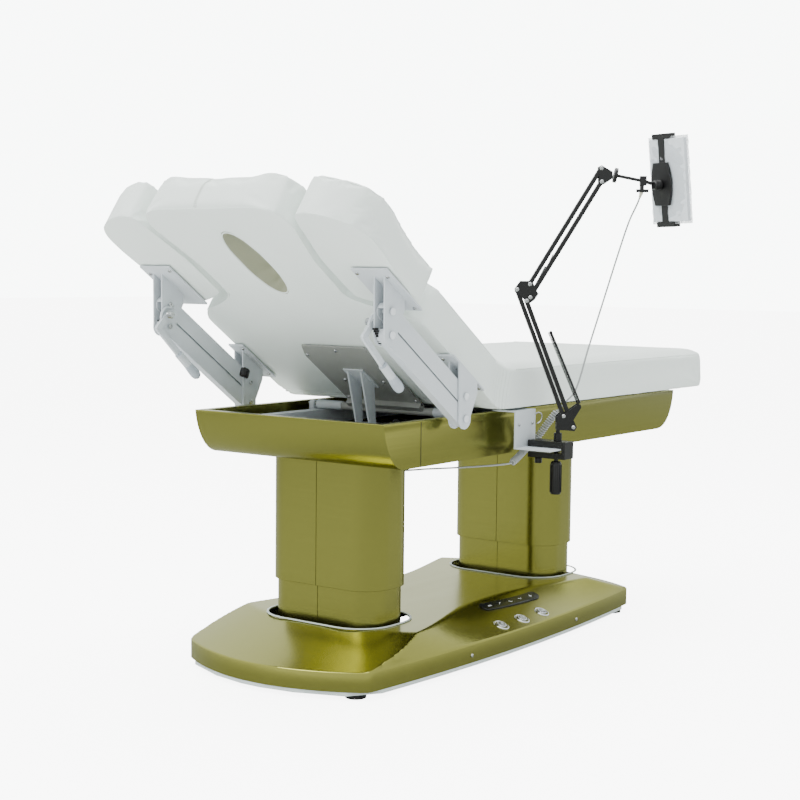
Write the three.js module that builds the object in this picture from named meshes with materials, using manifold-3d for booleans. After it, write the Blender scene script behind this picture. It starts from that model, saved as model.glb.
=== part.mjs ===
// Electric facial treatment bed: two lifting columns, hinged backrest with drop-down arm pads,
// control buttons in the base, and a tablet arm clamped beside the mattress.
// Millimetres. X runs from the head end (-) to the foot end (+), Y to the client's left, Z up.
import * as THREE from 'three';
import { mergeVertices } from 'three/addons/utils/BufferGeometryUtils.js';
import Module from 'manifold-3d';

const wasm = await Module();
wasm.setup();

// ---------- driving dimensions ----------
const DEG = Math.PI / 180;
const GAP = 0.3;

const BASE = {
  centreX: 91, halfLength: 774, halfWidth: 342, floorGap: 12, rimTop: 22, bandTop: 72, deckTop: 132,
};
const COLUMN_X = { head: -322, foot: 562 };
const SLEEVE = { halfX: 99, halfY: 185, radius: 80, wall: 3, bottom: 227, step: 8 };
const INNER_SLEEVE_TOP = 455;
const DECK_OPENING = { halfX: 127, halfY: 195, radius: 100 };
const RING_WIDTH = 6;

const TRAY = {
  headTop: -550, headBottom: -461, footTop: 1025, footBottom: 912, halfWidth: 317, top: 686, bottom: 567,
};
const SHEET = 4;
const MATTRESS = { halfWidth: 372, bottom: 692, top: 810, footEnd: 1137 };

const HINGE = { x: -108, z: 678 };
const BACK_ANGLE = 34 * DEG;
const BACK_MAX = 50 * DEG;
const BACK = { underside: 14, top: 132, headEnd: -921 };

const LINK = {
  padUpper: [-612.5, 967], padLower: [-613, 910], backUpper: [-293, 745], backLower: [-293.5, 688],
  channelY: 367, channelHalf: 17, height: 43,
};

const ARM_POST = { x: 45, y: -460, turn: -53.8 * DEG };
const LEVER = { y: 341, pivot: [-628, 941], bend: [-664, 906], grip: [-577, 826], end: [-519, 776] };

const BAR = { radius: 5.5, halfWidth: 13 };

const CORD_EXIT = [-196, -60, 560];
const CORD_RADIUS = 2.5;
const COIL_RADIUS = 10.5;

// ---------- materials ----------
function paint(color, roughness = 0.5, metalness = 0) {
  return new THREE.MeshStandardMaterial({ color, roughness, metalness });
}

const GOLD = paint(0x8f8540, 0.3, 1);
const LEATHER = paint(0xeceee8, 0.55);
const GREY_PAINT = paint(0xc3c7cb, 0.45);
const PLATE_PAINT = paint(0xa8a9a6, 0.5);
const LIGHT_STRIP = paint(0xd5dcdc, 0.4);
const BLACK_PLASTIC = paint(0x141414, 0.45);
const BLACK_STEEL = paint(0x0f0f10, 0.35, 0.6);
const STEEL = paint(0xb9bcc0, 0.25, 1);
const GLASS = paint(0x20252b, 0.15);
const TABLET_WHITE = paint(0xe6e9ea, 0.3);
const CORD_GREY = paint(0x8d9092, 0.6);

// ---------- solids ----------
function toSolid(geometry) {
  const bare = geometry.clone();
  bare.deleteAttribute('normal');
  bare.deleteAttribute('uv');
  const merged = mergeVertices(bare, 1e-3);
  const mesh = new wasm.Mesh({
    numProp: 3,
    vertProperties: new Float32Array(merged.attributes.position.array),
    triVerts: new Uint32Array(merged.index.array),
  });
  return new wasm.Manifold(mesh);
}

function toGeometry(solid) {
  const mesh = solid.getMesh();
  const geometry = new THREE.BufferGeometry();
  geometry.setAttribute('position', new THREE.BufferAttribute(mesh.vertProperties, 3));
  geometry.setIndex(new THREE.BufferAttribute(mesh.triVerts, 1));
  return geometry;
}

function join(...geometries) {
  return toGeometry(geometries.map(toSolid).reduce((a, b) => a.add(b)));
}

function cut(geometry, ...tools) {
  return toGeometry(tools.map(toSolid).reduce((a, b) => a.subtract(b), toSolid(geometry)));
}

// Box given by its lowest and highest corners.
function block(low, high) {
  const size = high.map((value, i) => value - low[i]);
  const geometry = new THREE.BoxGeometry(...size);
  return geometry.translate(...high.map((value, i) => (value + low[i]) / 2));
}

function shapeFrom(points) {
  return new THREE.Shape(points.map(([x, y]) => new THREE.Vector2(x, y)));
}

function roundedShape(halfX, halfY, radius) {
  const shape = new THREE.Shape();
  shape.moveTo(-halfX + radius, -halfY);
  shape.lineTo(halfX - radius, -halfY);
  shape.absarc(halfX - radius, -halfY + radius, radius, -Math.PI / 2, 0);
  shape.lineTo(halfX, halfY - radius);
  shape.absarc(halfX - radius, halfY - radius, radius, 0, Math.PI / 2);
  shape.lineTo(-halfX + radius, halfY);
  shape.absarc(-halfX + radius, halfY - radius, radius, Math.PI / 2, Math.PI);
  shape.lineTo(-halfX, -halfY + radius);
  shape.absarc(-halfX + radius, -halfY + radius, radius, Math.PI, 1.5 * Math.PI);
  return shape;
}

// Outline in the XY plane, extruded upward from z = low to z = high.
function upright(shape, low, high, curveSegments = 5) {
  const options = { depth: high - low, bevelEnabled: false, curveSegments };
  return new THREE.ExtrudeGeometry(shape, options).translate(0, 0, low);
}

// Outline drawn as (x, z), extruded along Y from y = low to y = high.
function sideways(shape, low, high, curveSegments = 5) {
  const options = { depth: high - low, bevelEnabled: false, curveSegments };
  const geometry = new THREE.ExtrudeGeometry(shape, options);
  geometry.rotateX(Math.PI / 2);
  return geometry.translate(0, high, 0);
}

function rod(radius, from, to, sides = 12) {
  const start = new THREE.Vector3(...from);
  const end = new THREE.Vector3(...to);
  const direction = end.clone().sub(start);
  const geometry = new THREE.CylinderGeometry(radius, radius, direction.length(), sides);
  const turn = new THREE.Quaternion().setFromUnitVectors(new THREE.Vector3(0, 1, 0), direction.normalize());
  geometry.applyQuaternion(turn);
  return geometry.translate(...start.add(end).multiplyScalar(0.5).toArray());
}

function turned(profile, sides = 16) {
  const geometry = new THREE.LatheGeometry(profile.map(([r, z]) => new THREE.Vector2(r, z)), sides);
  return geometry.rotateX(Math.PI / 2);
}

// Flat bar with round ends between two points of the XZ plane, from y = low to y = high.
function slat([x1, z1], [x2, z2], radius, low, high, arcSteps = 6) {
  const along = Math.atan2(z2 - z1, x2 - x1);
  const points = [];
  for (let i = 0; i <= arcSteps; i += 1) {
    const angle = along - Math.PI / 2 + (Math.PI * i) / arcSteps;
    points.push([x2 + radius * Math.cos(angle), z2 + radius * Math.sin(angle)]);
  }
  for (let i = 0; i <= arcSteps; i += 1) {
    const angle = along + Math.PI / 2 + (Math.PI * i) / arcSteps;
    points.push([x1 + radius * Math.cos(angle), z1 + radius * Math.sin(angle)]);
  }
  return sideways(shapeFrom(points), low, high);
}

// ---------- scene graph ----------
const bed = new THREE.Group();

function addTo(parent, name, geometry, material) {
  const mesh = new THREE.Mesh(geometry, material);
  mesh.name = name;
  parent.add(mesh);
  return mesh;
}

const add = (name, geometry, material) => addTo(bed, name, geometry, material);

// ---------- base ----------
const END_CURVE = 0.00105;
const CORNER_BLEND = 26;
const FACET = { width: 150, middle: 45, reach: 415, power: 2.3, least: 12 };
const END_SLOPE = 228;

function smoothMin(a, b, blend) {
  const h = Math.max(blend - Math.abs(a - b), 0) / blend;
  return Math.min(a, b) - (h * h * blend) / 4;
}

// Half-width of the base at a distance dx from its middle.
function baseHalfWidth(dx) {
  const t = dx / BASE.halfLength;
  const side = BASE.halfWidth - 50 * t * t;
  const end = Math.sqrt(Math.max(BASE.halfLength - Math.abs(dx), 0) / END_CURVE);
  return smoothMin(side, end, CORNER_BLEND);
}

// Width of the sloping side facet, widest at the waist between the columns.
function facetWidth(dx) {
  const reach = (Math.abs(dx - FACET.middle) / FACET.reach) ** FACET.power;
  return Math.max(FACET.width * Math.exp(-reach), FACET.least);
}

// Height of the cover above the band: a deck with crescent side facets and falling ends.
function deckHeight(dx, y) {
  const side = baseHalfWidth(dx) - Math.abs(y);
  const facet = facetWidth(dx);
  const end = BASE.halfLength - Math.abs(dx) - END_CURVE * y * y;
  return Math.min(Math.max(side / facet, 0), Math.max(end / END_SLOPE, 0), 1);
}

const ACROSS = [-1, -0.93, -0.85, -0.76, -0.66, -0.55, -0.3, 0, 0.3, 0.55, 0.66, 0.76, 0.85, 0.93, 1];

function baseStations() {
  const stations = [];
  const count = 30;
  for (let i = 0; i <= count; i += 1) {
    const angle = (Math.PI * i) / count;
    stations.push(-Math.cos(angle) * (BASE.halfLength - 1));
  }
  return stations;
}

// Closed body of the base cover, shrunk by an inset on every outer face.
function baseBody(inset, low) {
  const stations = baseStations();
  const columns = ACROSS.length;
  const positions = [];
  const shrink = 1 - inset / BASE.halfLength;
  for (const top of [true, false]) {
    for (const dx of stations) {
      const half = Math.max(baseHalfWidth(dx) - inset, 4);
      for (const across of ACROSS) {
        const y = across * half;
        const rise = (BASE.deckTop - BASE.bandTop) * deckHeight(dx, across * baseHalfWidth(dx));
        positions.push(BASE.centreX + dx * shrink, y, top ? BASE.bandTop + rise - inset : low);
      }
    }
  }
  const rows = stations.length;
  const at = (level, row, column) => level * rows * columns + row * columns + column;
  const index = [];
  for (let row = 0; row < rows - 1; row += 1) {
    for (let column = 0; column < columns - 1; column += 1) {
      const corners = [[row, column], [row + 1, column], [row + 1, column + 1], [row, column + 1]];
      const [a, b, c, d] = corners.map(([r, k]) => at(0, r, k));
      const [e, f, g, h] = corners.map(([r, k]) => at(1, r, k));
      index.push(a, b, c, a, c, d, e, g, f, e, h, g);
    }
    const left = [at(0, row, 0), at(0, row + 1, 0), at(1, row + 1, 0), at(1, row, 0)];
    index.push(left[0], left[2], left[1], left[0], left[3], left[2]);
    const k = columns - 1;
    const right = [at(0, row, k), at(0, row + 1, k), at(1, row + 1, k), at(1, row, k)];
    index.push(right[0], right[1], right[2], right[0], right[2], right[3]);
  }
  for (let column = 0; column < columns - 1; column += 1) {
    const head = [at(0, 0, column), at(0, 0, column + 1), at(1, 0, column + 1), at(1, 0, column)];
    index.push(head[0], head[1], head[2], head[0], head[2], head[3]);
    const r = rows - 1;
    const foot = [at(0, r, column), at(0, r, column + 1), at(1, r, column + 1), at(1, r, column)];
    index.push(foot[0], foot[2], foot[1], foot[0], foot[3], foot[2]);
  }
  const geometry = new THREE.BufferGeometry();
  geometry.setAttribute('position', new THREE.Float32BufferAttribute(positions, 3));
  geometry.setIndex(index);
  return geometry;
}

// Outline of the base in plan, pulled in by an inset.
function baseOutline(inset) {
  const stations = baseStations().filter((dx, i) => i % 2 === 0);
  const shrink = 1 - inset / BASE.halfLength;
  const near = stations.map((dx) => [BASE.centreX + dx * shrink, -Math.max(baseHalfWidth(dx) - inset, 4)]);
  const far = near.map(([x, y]) => [x, -y]).reverse();
  return shapeFrom([...near, ...far]);
}

const BUTTON = { radius: 17, depth: 9, x: [17, 124, 234] };
const FACET_TILT = Math.atan2(BASE.deckTop - BASE.bandTop, FACET.width);

// A round or rounded piece lying on the near side facet of the base.
function onFacet(geometry, x, y, z) {
  geometry.rotateX(FACET_TILT);
  return geometry.translate(x, y, z);
}

function facetPoint(dx, fromEdge, lift) {
  const y = -(baseHalfWidth(dx) - fromEdge);
  const z = BASE.bandTop + ((BASE.deckTop - BASE.bandTop) * fromEdge) / facetWidth(dx);
  return [y, z + lift];
}

const coverHoles = Object.values(COLUMN_X).map((x) => {
  const hole = upright(roundedShape(DECK_OPENING.halfX, DECK_OPENING.halfY, DECK_OPENING.radius), 60, 150);
  return hole.translate(x, 0, 0);
});
const BUTTON_EDGE = 34;
const STRIP = { x: 173, halfLength: 136, halfWidth: 15, edge: 104, slope: -0.075, lift: 1.5, thick: 3 };
const buttonHoles = BUTTON.x.map((x) => {
  const [y, z] = facetPoint(x - BASE.centreX, BUTTON_EDGE, 0);
  return onFacet(turned([[0, -30], [BUTTON.radius + 1, -30], [BUTTON.radius + 1, 30], [0, 30]]), x, y, z);
});
const coverShell = cut(
  baseBody(0, BASE.rimTop), baseBody(SHEET, BASE.rimTop - 5), ...coverHoles, ...buttonHoles,
);
add('base_cover', coverShell, GOLD);

const rimInner = upright(baseOutline(12), BASE.floorGap - 1, BASE.rimTop + 1);
add('rim_light', cut(upright(baseOutline(0), BASE.floorGap, BASE.rimTop - GAP), rimInner), LIGHT_STRIP);

const RAIL_Y = 150;
const CHASSIS = { low: 26, high: 62, head: -570, foot: 716 };
const FEET = [
  ['head_left', -568, 252], ['head_right', -568, -252], ['foot_left', 714, 276], ['foot_right', 714, -276],
];
const chassisParts = [-1, 1].map((side) => {
  const y = side * RAIL_Y;
  return block([CHASSIS.head, y - 25, CHASSIS.low], [CHASSIS.foot, y + 25, CHASSIS.high]);
});
for (const [x, y] of [FEET[0].slice(1), FEET[2].slice(1)]) {
  chassisParts.push(block([x - 16, -y - 10, CHASSIS.low], [x + 16, y + 10, CHASSIS.high]));
}
for (const x of Object.values(COLUMN_X)) {
  chassisParts.push(block([x - 110, -190, 56], [x + 110, 190, CHASSIS.high]));
}
add('base_chassis', join(...chassisParts), BLACK_STEEL);

const FOOT_TOP = CHASSIS.low - GAP;
for (const [place, x, y] of FEET) {
  const foot = turned([[0, 0], [27, 0], [27, 7], [20, 11.5], [8, 11.7], [8, FOOT_TOP], [0, FOOT_TOP]]);
  add(`leveling_foot_${place}`, foot.translate(x, y, 0), BLACK_PLASTIC);
}

// Thin-walled sleeve with a rounded section, open at both ends.
function sleeve(x, inset, low, high) {
  const { halfX, halfY, radius, wall } = SLEEVE;
  const outer = roundedShape(halfX - inset, halfY - inset, radius - inset);
  const hole = roundedShape(halfX - inset - wall, halfY - inset - wall, radius - inset - wall);
  outer.holes.push(hole);
  return upright(outer, low, high, 3).translate(x, 0, 0);
}

// Square lifting tube.
function stage(x, half, wall, low, high) {
  const outer = block([x - half[0], -half[1], low], [x + half[0], half[1], high]);
  const [innerX, innerY] = half.map((value) => value - wall);
  return cut(outer, block([x - innerX, -innerY, low - 1], [x + innerX, innerY, high + 1]));
}

for (const [end, x] of Object.entries(COLUMN_X)) {
  const { halfX, halfY, radius } = DECK_OPENING;
  const ring = roundedShape(halfX + RING_WIDTH, halfY + RING_WIDTH, radius + RING_WIDTH);
  ring.holes.push(roundedShape(halfX, halfY, radius));
  const ringLow = BASE.deckTop + GAP;
  add(`column_ring_${end}`, upright(ring, ringLow, ringLow + 3, 3).translate(x, 0, 0), LIGHT_STRIP);
  add(`inner_sleeve_${end}`, sleeve(x, SLEEVE.step, CHASSIS.high + GAP, INNER_SLEEVE_TOP), GOLD);
  add(`lower_stage_${end}`, stage(x, [60, 90], 4, CHASSIS.high + GAP, 470), BLACK_STEEL);
  add(`outer_sleeve_${end}`, sleeve(x, 0, SLEEVE.bottom, TRAY.bottom - GAP), GOLD);
  add(`upper_stage_${end}`, stage(x, [52, 82], 4, 160, TRAY.bottom - GAP), STEEL);
}

// Capsule outline with intermediate points on its straight sides.
function capsule(halfLength, halfWidth, sideSteps, arcSteps) {
  const straight = halfLength - halfWidth;
  const points = [];
  for (const facing of [1, -1]) {
    for (let i = 0; i < sideSteps; i += 1) {
      points.push([facing * straight * ((2 * i) / sideSteps - 1), -facing * halfWidth]);
    }
    for (let i = 0; i < arcSteps; i += 1) {
      const angle = -Math.PI / 2 + (Math.PI * i) / arcSteps;
      points.push([facing * (straight + halfWidth * Math.cos(angle)), facing * halfWidth * Math.sin(angle)]);
    }
  }
  return points;
}

// Glass strip that follows the facet just below the ridge.
function touchStrip() {
  const geometry = upright(shapeFrom(capsule(STRIP.halfLength, STRIP.halfWidth, 8, 6)), 0, STRIP.thick);
  const position = geometry.attributes.position;
  for (let i = 0; i < position.count; i += 1) {
    const x = STRIP.x + position.getX(i);
    const fromEdge = STRIP.edge + STRIP.slope * position.getX(i) + position.getY(i);
    const [y, z] = facetPoint(x - BASE.centreX, fromEdge, STRIP.lift + position.getZ(i));
    position.setXYZ(i, x, y, z);
  }
  return geometry;
}

add('touch_strip', touchStrip(), GLASS);

BUTTON.x.forEach((x, i) => {
  const [y, z] = facetPoint(x - BASE.centreX, BUTTON_EDGE, 0);
  const cap = turned([[0, -BUTTON.depth], [14, -BUTTON.depth], [14, 3.5], [12, 5], [0, 5]]);
  add(`button_${['up', 'power', 'down'][i]}`, onFacet(cap, x, y, z), STEEL);
});

// ---------- lifting top: tray, frame, seat ----------
function trayShape(inset, top) {
  const shape = new THREE.Shape();
  const low = TRAY.bottom + inset;
  const bend = TRAY.bottom + 60;
  const head = TRAY.headTop + inset;
  const foot = TRAY.footTop - inset;
  shape.moveTo(head, top);
  shape.bezierCurveTo(head + 6, bend, head + 40, low, TRAY.headBottom + inset, low);
  shape.lineTo(TRAY.footBottom - inset, low);
  shape.bezierCurveTo(foot - 40, low, foot - 6, bend, foot, top);
  return shape;
}

const trayOuter = sideways(trayShape(0, TRAY.top), -TRAY.halfWidth, TRAY.halfWidth, 7);
const trayHollow = TRAY.halfWidth - SHEET;
const trayInner = sideways(trayShape(SHEET, TRAY.top - SHEET), -trayHollow, trayHollow, 7);
const LIP = 26;
const trayMouth = block(
  [TRAY.headTop + LIP, -TRAY.halfWidth + LIP, TRAY.top - 10],
  [TRAY.footTop - LIP - 20, TRAY.halfWidth - LIP, TRAY.top + 10],
);
const cordGland = rod(9, CORD_EXIT, [CORD_EXIT[0], CORD_EXIT[1], TRAY.bottom + 1], 14);
add('tray_cover', join(cut(trayOuter, trayInner, trayMouth), cordGland), GOLD);

const FRAME = { railY: 240, low: TRAY.bottom + SHEET + GAP, high: 664 };
const PIN_RADIUS = 7;
const LUG_Y = 268;
const frameParts = [];
for (const side of [-1, 1]) {
  const y = side * FRAME.railY;
  frameParts.push(block([-440, y - 20, 624], [900, y + 20, FRAME.high]));
  for (const x of Object.values(COLUMN_X)) {
    frameParts.push(block([x - 60, y - 20, FRAME.low], [x + 60, y + 20, 630]));
  }
  const lug = slat([HINGE.x, 640], [HINGE.x, HINGE.z], 11, LUG_Y - 8, LUG_Y + 8);
  if (side < 0) lug.translate(0, -2 * LUG_Y, 0);
  const [nearY, farY] = [y, side * LUG_Y].sort((a, b) => a - b);
  frameParts.push(lug, block([HINGE.x - 11, nearY, 630], [HINGE.x + 11, farY, 650]));
}
for (const x of [-420, 430, 880]) {
  frameParts.push(block([x - 20, -260, 634], [x + 20, 260, FRAME.high - 2]));
}
for (const x of Object.values(COLUMN_X)) {
  frameParts.push(block([x - 60, -250, FRAME.low], [x + 60, 250, FRAME.low + 8]));
}
const ACTUATOR = { baseX: 330, baseZ: 600, padX: -59, padZ: -86, radius: 17, eye: 10 };
for (const y of [-34, 34]) {
  const low = [ACTUATOR.baseX - 16, y - 4, FRAME.low];
  frameParts.push(block(low, [ACTUATOR.baseX + 16, y + 4, ACTUATOR.baseZ + 16]));
}
frameParts.push(block([ACTUATOR.baseX - 16, -38, FRAME.low], [COLUMN_X.foot, 38, FRAME.low + 8]));
const pinHole = rod(PIN_RADIUS + 0.3, [HINGE.x, -300, HINGE.z], [HINGE.x, 300, HINGE.z], 16);
const baseHole = rod(6.3, [ACTUATOR.baseX, -50, ACTUATOR.baseZ], [ACTUATOR.baseX, 50, ACTUATOR.baseZ]);
add('top_frame', cut(join(...frameParts), pinHole, baseHole), GREY_PAINT);
add('hinge_pin', rod(PIN_RADIUS, [HINGE.x, -282, HINGE.z], [HINGE.x, 282, HINGE.z], 16), STEEL);

const mitre = Math.tan(BACK_MAX / 2);
const seatOutline = shapeFrom([
  [HINGE.x + (MATTRESS.bottom - HINGE.z) * mitre + 3, MATTRESS.bottom],
  [MATTRESS.footEnd - 14, MATTRESS.bottom],
  [MATTRESS.footEnd, MATTRESS.bottom + 20],
  [MATTRESS.footEnd, MATTRESS.top - 20],
  [MATTRESS.footEnd - 14, MATTRESS.top],
  [HINGE.x + (MATTRESS.top - HINGE.z) * mitre + 3, MATTRESS.top],
]);
add('seat_mattress', sideways(seatOutline, -MATTRESS.halfWidth, MATTRESS.halfWidth), LEATHER);

const BRACKET = { low: -37, high: 66, plateY: -376, footZ: 587, footY: -484 };
const bracket = join(
  block([BRACKET.low, BRACKET.plateY, 686.3], [BRACKET.high, -300, 690.3]),
  block([BRACKET.low, BRACKET.plateY, BRACKET.footZ], [BRACKET.high, BRACKET.plateY + SHEET, 690.3]),
  block(
    [BRACKET.low, BRACKET.footY, BRACKET.footZ],
    [BRACKET.high, BRACKET.plateY + SHEET, BRACKET.footZ + SHEET],
  ),
);
add('accessory_bracket', bracket, GREY_PAINT);

// ---------- backrest ----------
const back = new THREE.Group();
back.position.set(HINGE.x, 0, HINGE.z);
back.rotation.y = BACK_ANGLE;
bed.add(back);

const NOTCH = { x: -544, outerX: -462, inner: 196 };
const HEAD = { half: 236, corner: 60 };

function backOutline() {
  const half = MATTRESS.halfWidth;
  const near = [
    [-8, -half], [NOTCH.outerX + 40, -half], [NOTCH.outerX - 4, -half + 28], [NOTCH.outerX - 22, -300],
    [NOTCH.x + 30, -NOTCH.inner - 40], [NOTCH.x, -NOTCH.inner], [-700, -NOTCH.inner - 8],
    [BACK.headEnd + HEAD.corner + 10, -HEAD.half], [BACK.headEnd + 20, -HEAD.half + 24],
    [BACK.headEnd, -HEAD.half + 70],
  ];
  const far = near.map(([x, y]) => [x, -y]).reverse();
  return shapeFrom([...near, ...far]);
}

const FACE_HOLE = { x: -684, halfLength: 135, halfWidth: 42 };
const backBody = upright(backOutline(), BACK.underside, BACK.top);
const mitreOutline = shapeFrom([[-3, 0], [-3 - 180 * mitre, 180], [220, 180], [220, 0]]);
const mitreCut = sideways(mitreOutline, -MATTRESS.halfWidth - 5, MATTRESS.halfWidth + 5);
const faceHole = new THREE.CylinderGeometry(1, 1, 200, 20);
faceHole.rotateX(Math.PI / 2);
faceHole.scale(FACE_HOLE.halfLength, FACE_HOLE.halfWidth, 1);
faceHole.translate(FACE_HOLE.x, 0, 80);
addTo(back, 'back_mattress', cut(backBody, mitreCut, faceHole), LEATHER);

const plateTop = BACK.underside - GAP;
const backPlate = join(
  upright(shapeFrom([
    [-14, -128], [-14, 128], [-258, 128], [-310, 106], [-310, -106], [-258, -128],
  ]), plateTop - 4, plateTop),
  rod(11.5, [0, -250, 0], [0, 250, 0], 16),
  block([-30, -128, -6], [0, 128, 10]),
);
const tubeBore = rod(PIN_RADIUS + 0.4, [0, -260, 0], [0, 260, 0], 16);
addTo(back, 'back_plate', cut(backPlate, tubeBore), PLATE_PAINT);

const clevisEar = shapeFrom([
  [-196, 9], [-122, 9], [-48, -82], [-46, -94], [-52, -102], [-62, -102], [-72, -97],
]);
const clevisBore = rod(6.3, [ACTUATOR.padX, -40, ACTUATOR.padZ], [ACTUATOR.padX, 40, ACTUATOR.padZ]);
const clevis = join(
  sideways(clevisEar, -25, -20), sideways(clevisEar, 20, 25), block([-200, -34, 5.4], [-110, 34, 9.4]),
);
addTo(back, 'actuator_clevis', cut(clevis, clevisBore), GREY_PAINT);

// Backrest actuator: a tube pivoting in the tray and a rod pivoting on the clevis.
function fromHinge(x, z) {
  const point = new THREE.Vector3(x, 0, z).applyAxisAngle(new THREE.Vector3(0, 1, 0), BACK_ANGLE);
  return [HINGE.x + point.x, HINGE.z + point.z];
}
const [eyeX, eyeZ] = fromHinge(ACTUATOR.padX, ACTUATOR.padZ);
const actuator = new THREE.Group();
actuator.position.set(ACTUATOR.baseX, 0, ACTUATOR.baseZ);
actuator.rotation.y = Math.atan2(eyeZ - ACTUATOR.baseZ, ACTUATOR.baseX - eyeX);
bed.add(actuator);
const reach = Math.hypot(ACTUATOR.baseX - eyeX, eyeZ - ACTUATOR.baseZ);
const TUBE_END = -400;
const actuatorBody = cut(
  join(
    rod(ACTUATOR.radius, [-20, 0, 0], [TUBE_END, 0, 0], 16),
    block([-150, -28, -20], [-24, 28, 20]),
    rod(6, [0, -38.5, 0], [0, 38.5, 0]),
    block([-26, -12, -12], [6, 12, 12]),
  ),
  rod(ACTUATOR.radius - 4, [-240, 0, 0], [TUBE_END - 5, 0, 0], 16),
);
addTo(actuator, 'actuator_body', actuatorBody, BLACK_PLASTIC);
const actuatorRod = join(
  rod(8, [-reach + 4, 0, 0], [-reach + 210, 0, 0], 12),
  rod(ACTUATOR.eye, [-reach, -14, 0], [-reach, 14, 0], 14),
);
addTo(actuator, 'actuator_rod', actuatorRod, STEEL);

// ---------- armrests ----------
const PIN = 5;

function undersideZ(x, above) {
  const level = BACK.underside + above;
  return HINGE.z + level / Math.cos(BACK_ANGLE) - (x - HINGE.x) * Math.tan(BACK_ANGLE);
}

// U-shaped bracket: a sloping flange under the upholstery and two ears hanging from it.
function bracketWithEars([upper, lower], flange, earHead, earFoot, side) {
  const inner = LINK.channelY - LINK.channelHalf;
  const outer = LINK.channelY + LINK.channelHalf;
  const ear = new THREE.Shape();
  ear.moveTo(earHead, undersideZ(earHead, -2));
  ear.lineTo(lower[0] - 26, lower[1] + 12);
  ear.absarc(lower[0], lower[1], 27, Math.PI - 0.2, 2 * Math.PI + 0.2, false);
  ear.lineTo(earFoot, undersideZ(earFoot, -26));
  ear.lineTo(earFoot, undersideZ(earFoot, -2));
  const ears = [[inner, inner + 4], [outer - 4, outer]].map(([low, high]) => sideways(ear, low, high, 6));
  const [headX, footX, innerY, outerY] = flange;
  const plate = sideways(shapeFrom([
    [headX, undersideZ(headX, -GAP)], [footX, undersideZ(footX, -GAP)],
    [footX, undersideZ(footX, -4.5)], [headX, undersideZ(headX, -4.5)],
  ]), innerY, outerY);
  const bores = [upper, lower].map(([x, z]) => rod(PIN + 0.4, [x, 300, z], [x, 420, z], 10));
  return cut(join(...ears, plate), ...bores).scale(1, side, 1);
}

function mirrored(geometry) {
  const index = geometry.index.array.slice();
  for (let i = 0; i < index.length; i += 3) [index[i], index[i + 1]] = [index[i + 1], index[i]];
  geometry.setIndex(new THREE.BufferAttribute(index, 1));
  return geometry;
}

// Channel link between two pins, with a stub pin at each end.
function link(from, to, up, open) {
  const half = LINK.channelHalf - 5;
  const low = LINK.channelY - half;
  const high = LINK.channelY + half;
  const outer = slat(from, to, LINK.height / 2, low, high);
  const along = new THREE.Vector2(to[0] - from[0], to[1] - from[1]).normalize();
  const normal = new THREE.Vector2(-along.y, along.x).multiplyScalar(up);
  const sink = (LINK.height / 2 + 6) * open;
  const shift = (point) => [point[0] + normal.x * sink * 0.5, point[1] + normal.y * sink * 0.5];
  const hollow = slat(shift(from), shift(to), LINK.height / 2 + 1, low + 3, high - 3);
  const pins = [from, to].map(([x, z]) => {
    const reachOut = LINK.channelHalf + 3;
    return rod(PIN, [x, LINK.channelY - reachOut, z], [x, LINK.channelY + reachOut, z], 10);
  });
  return join(cut(outer, hollow), ...pins);
}

const PAD = { headEnd: -898, footEnd: -526, inner: 214, outer: 430 };
const padOutline = [
  [PAD.footEnd - 20, PAD.inner + 6], [PAD.footEnd, PAD.inner + 44], [PAD.footEnd + 18, 300],
  [PAD.footEnd + 36, 378], [PAD.footEnd + 22, 400], [-620, 414], [-740, PAD.outer], [-802, PAD.outer],
  [-846, 408], [-880, 356], [PAD.headEnd, 300], [PAD.headEnd + 6, 268], [-870, 252], [-700, 220],
];

for (const [name, side] of [['left', 1], ['right', -1]]) {
  const finish = (geometry) => (side > 0 ? geometry : mirrored(geometry));
  const backPins = [LINK.backUpper, LINK.backLower];
  const lowerBracket = bracketWithEars(backPins, [-345, -205, 330, 384], -322, -238, side);
  add(`arm_bracket_${name}`, finish(lowerBracket), GREY_PAINT);
  const padPins = [LINK.padUpper, LINK.padLower];
  const padBracket = bracketWithEars(padPins, [-664, -520, 300, 408], -640, -560, side);
  add(`pad_bracket_${name}`, finish(padBracket), GREY_PAINT);
  const upperLink = link(LINK.padUpper, LINK.backUpper, 1, -1).scale(1, side, 1);
  add(`upper_link_${name}`, finish(upperLink), GREY_PAINT);
  const lowerLink = link(LINK.padLower, LINK.backLower, 1, 1).scale(1, side, 1);
  add(`lower_link_${name}`, finish(lowerLink), GREY_PAINT);
  const pad = upright(shapeFrom(padOutline.map(([x, y]) => [x, y * side])), BACK.underside, BACK.top);
  addTo(back, `arm_pad_${name}`, pad, LEATHER);
  const leverY = LEVER.y * side;
  const lever = join(
    slat(LEVER.pivot, LEVER.bend, 8, leverY - 4, leverY + 4, 4),
    slat(LEVER.bend, LEVER.grip, 8, leverY - 4, leverY + 4, 4),
    rod(11.5, [LEVER.grip[0] - 10, leverY, LEVER.grip[1] + 9], [LEVER.end[0], leverY, LEVER.end[1]], 12),
    rod(4, [LEVER.pivot[0], leverY - 7, LEVER.pivot[1]], [LEVER.pivot[0], leverY + 7, LEVER.pivot[1]], 10),
  );
  add(`release_lever_${name}`, lever, GREY_PAINT);
}

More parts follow.
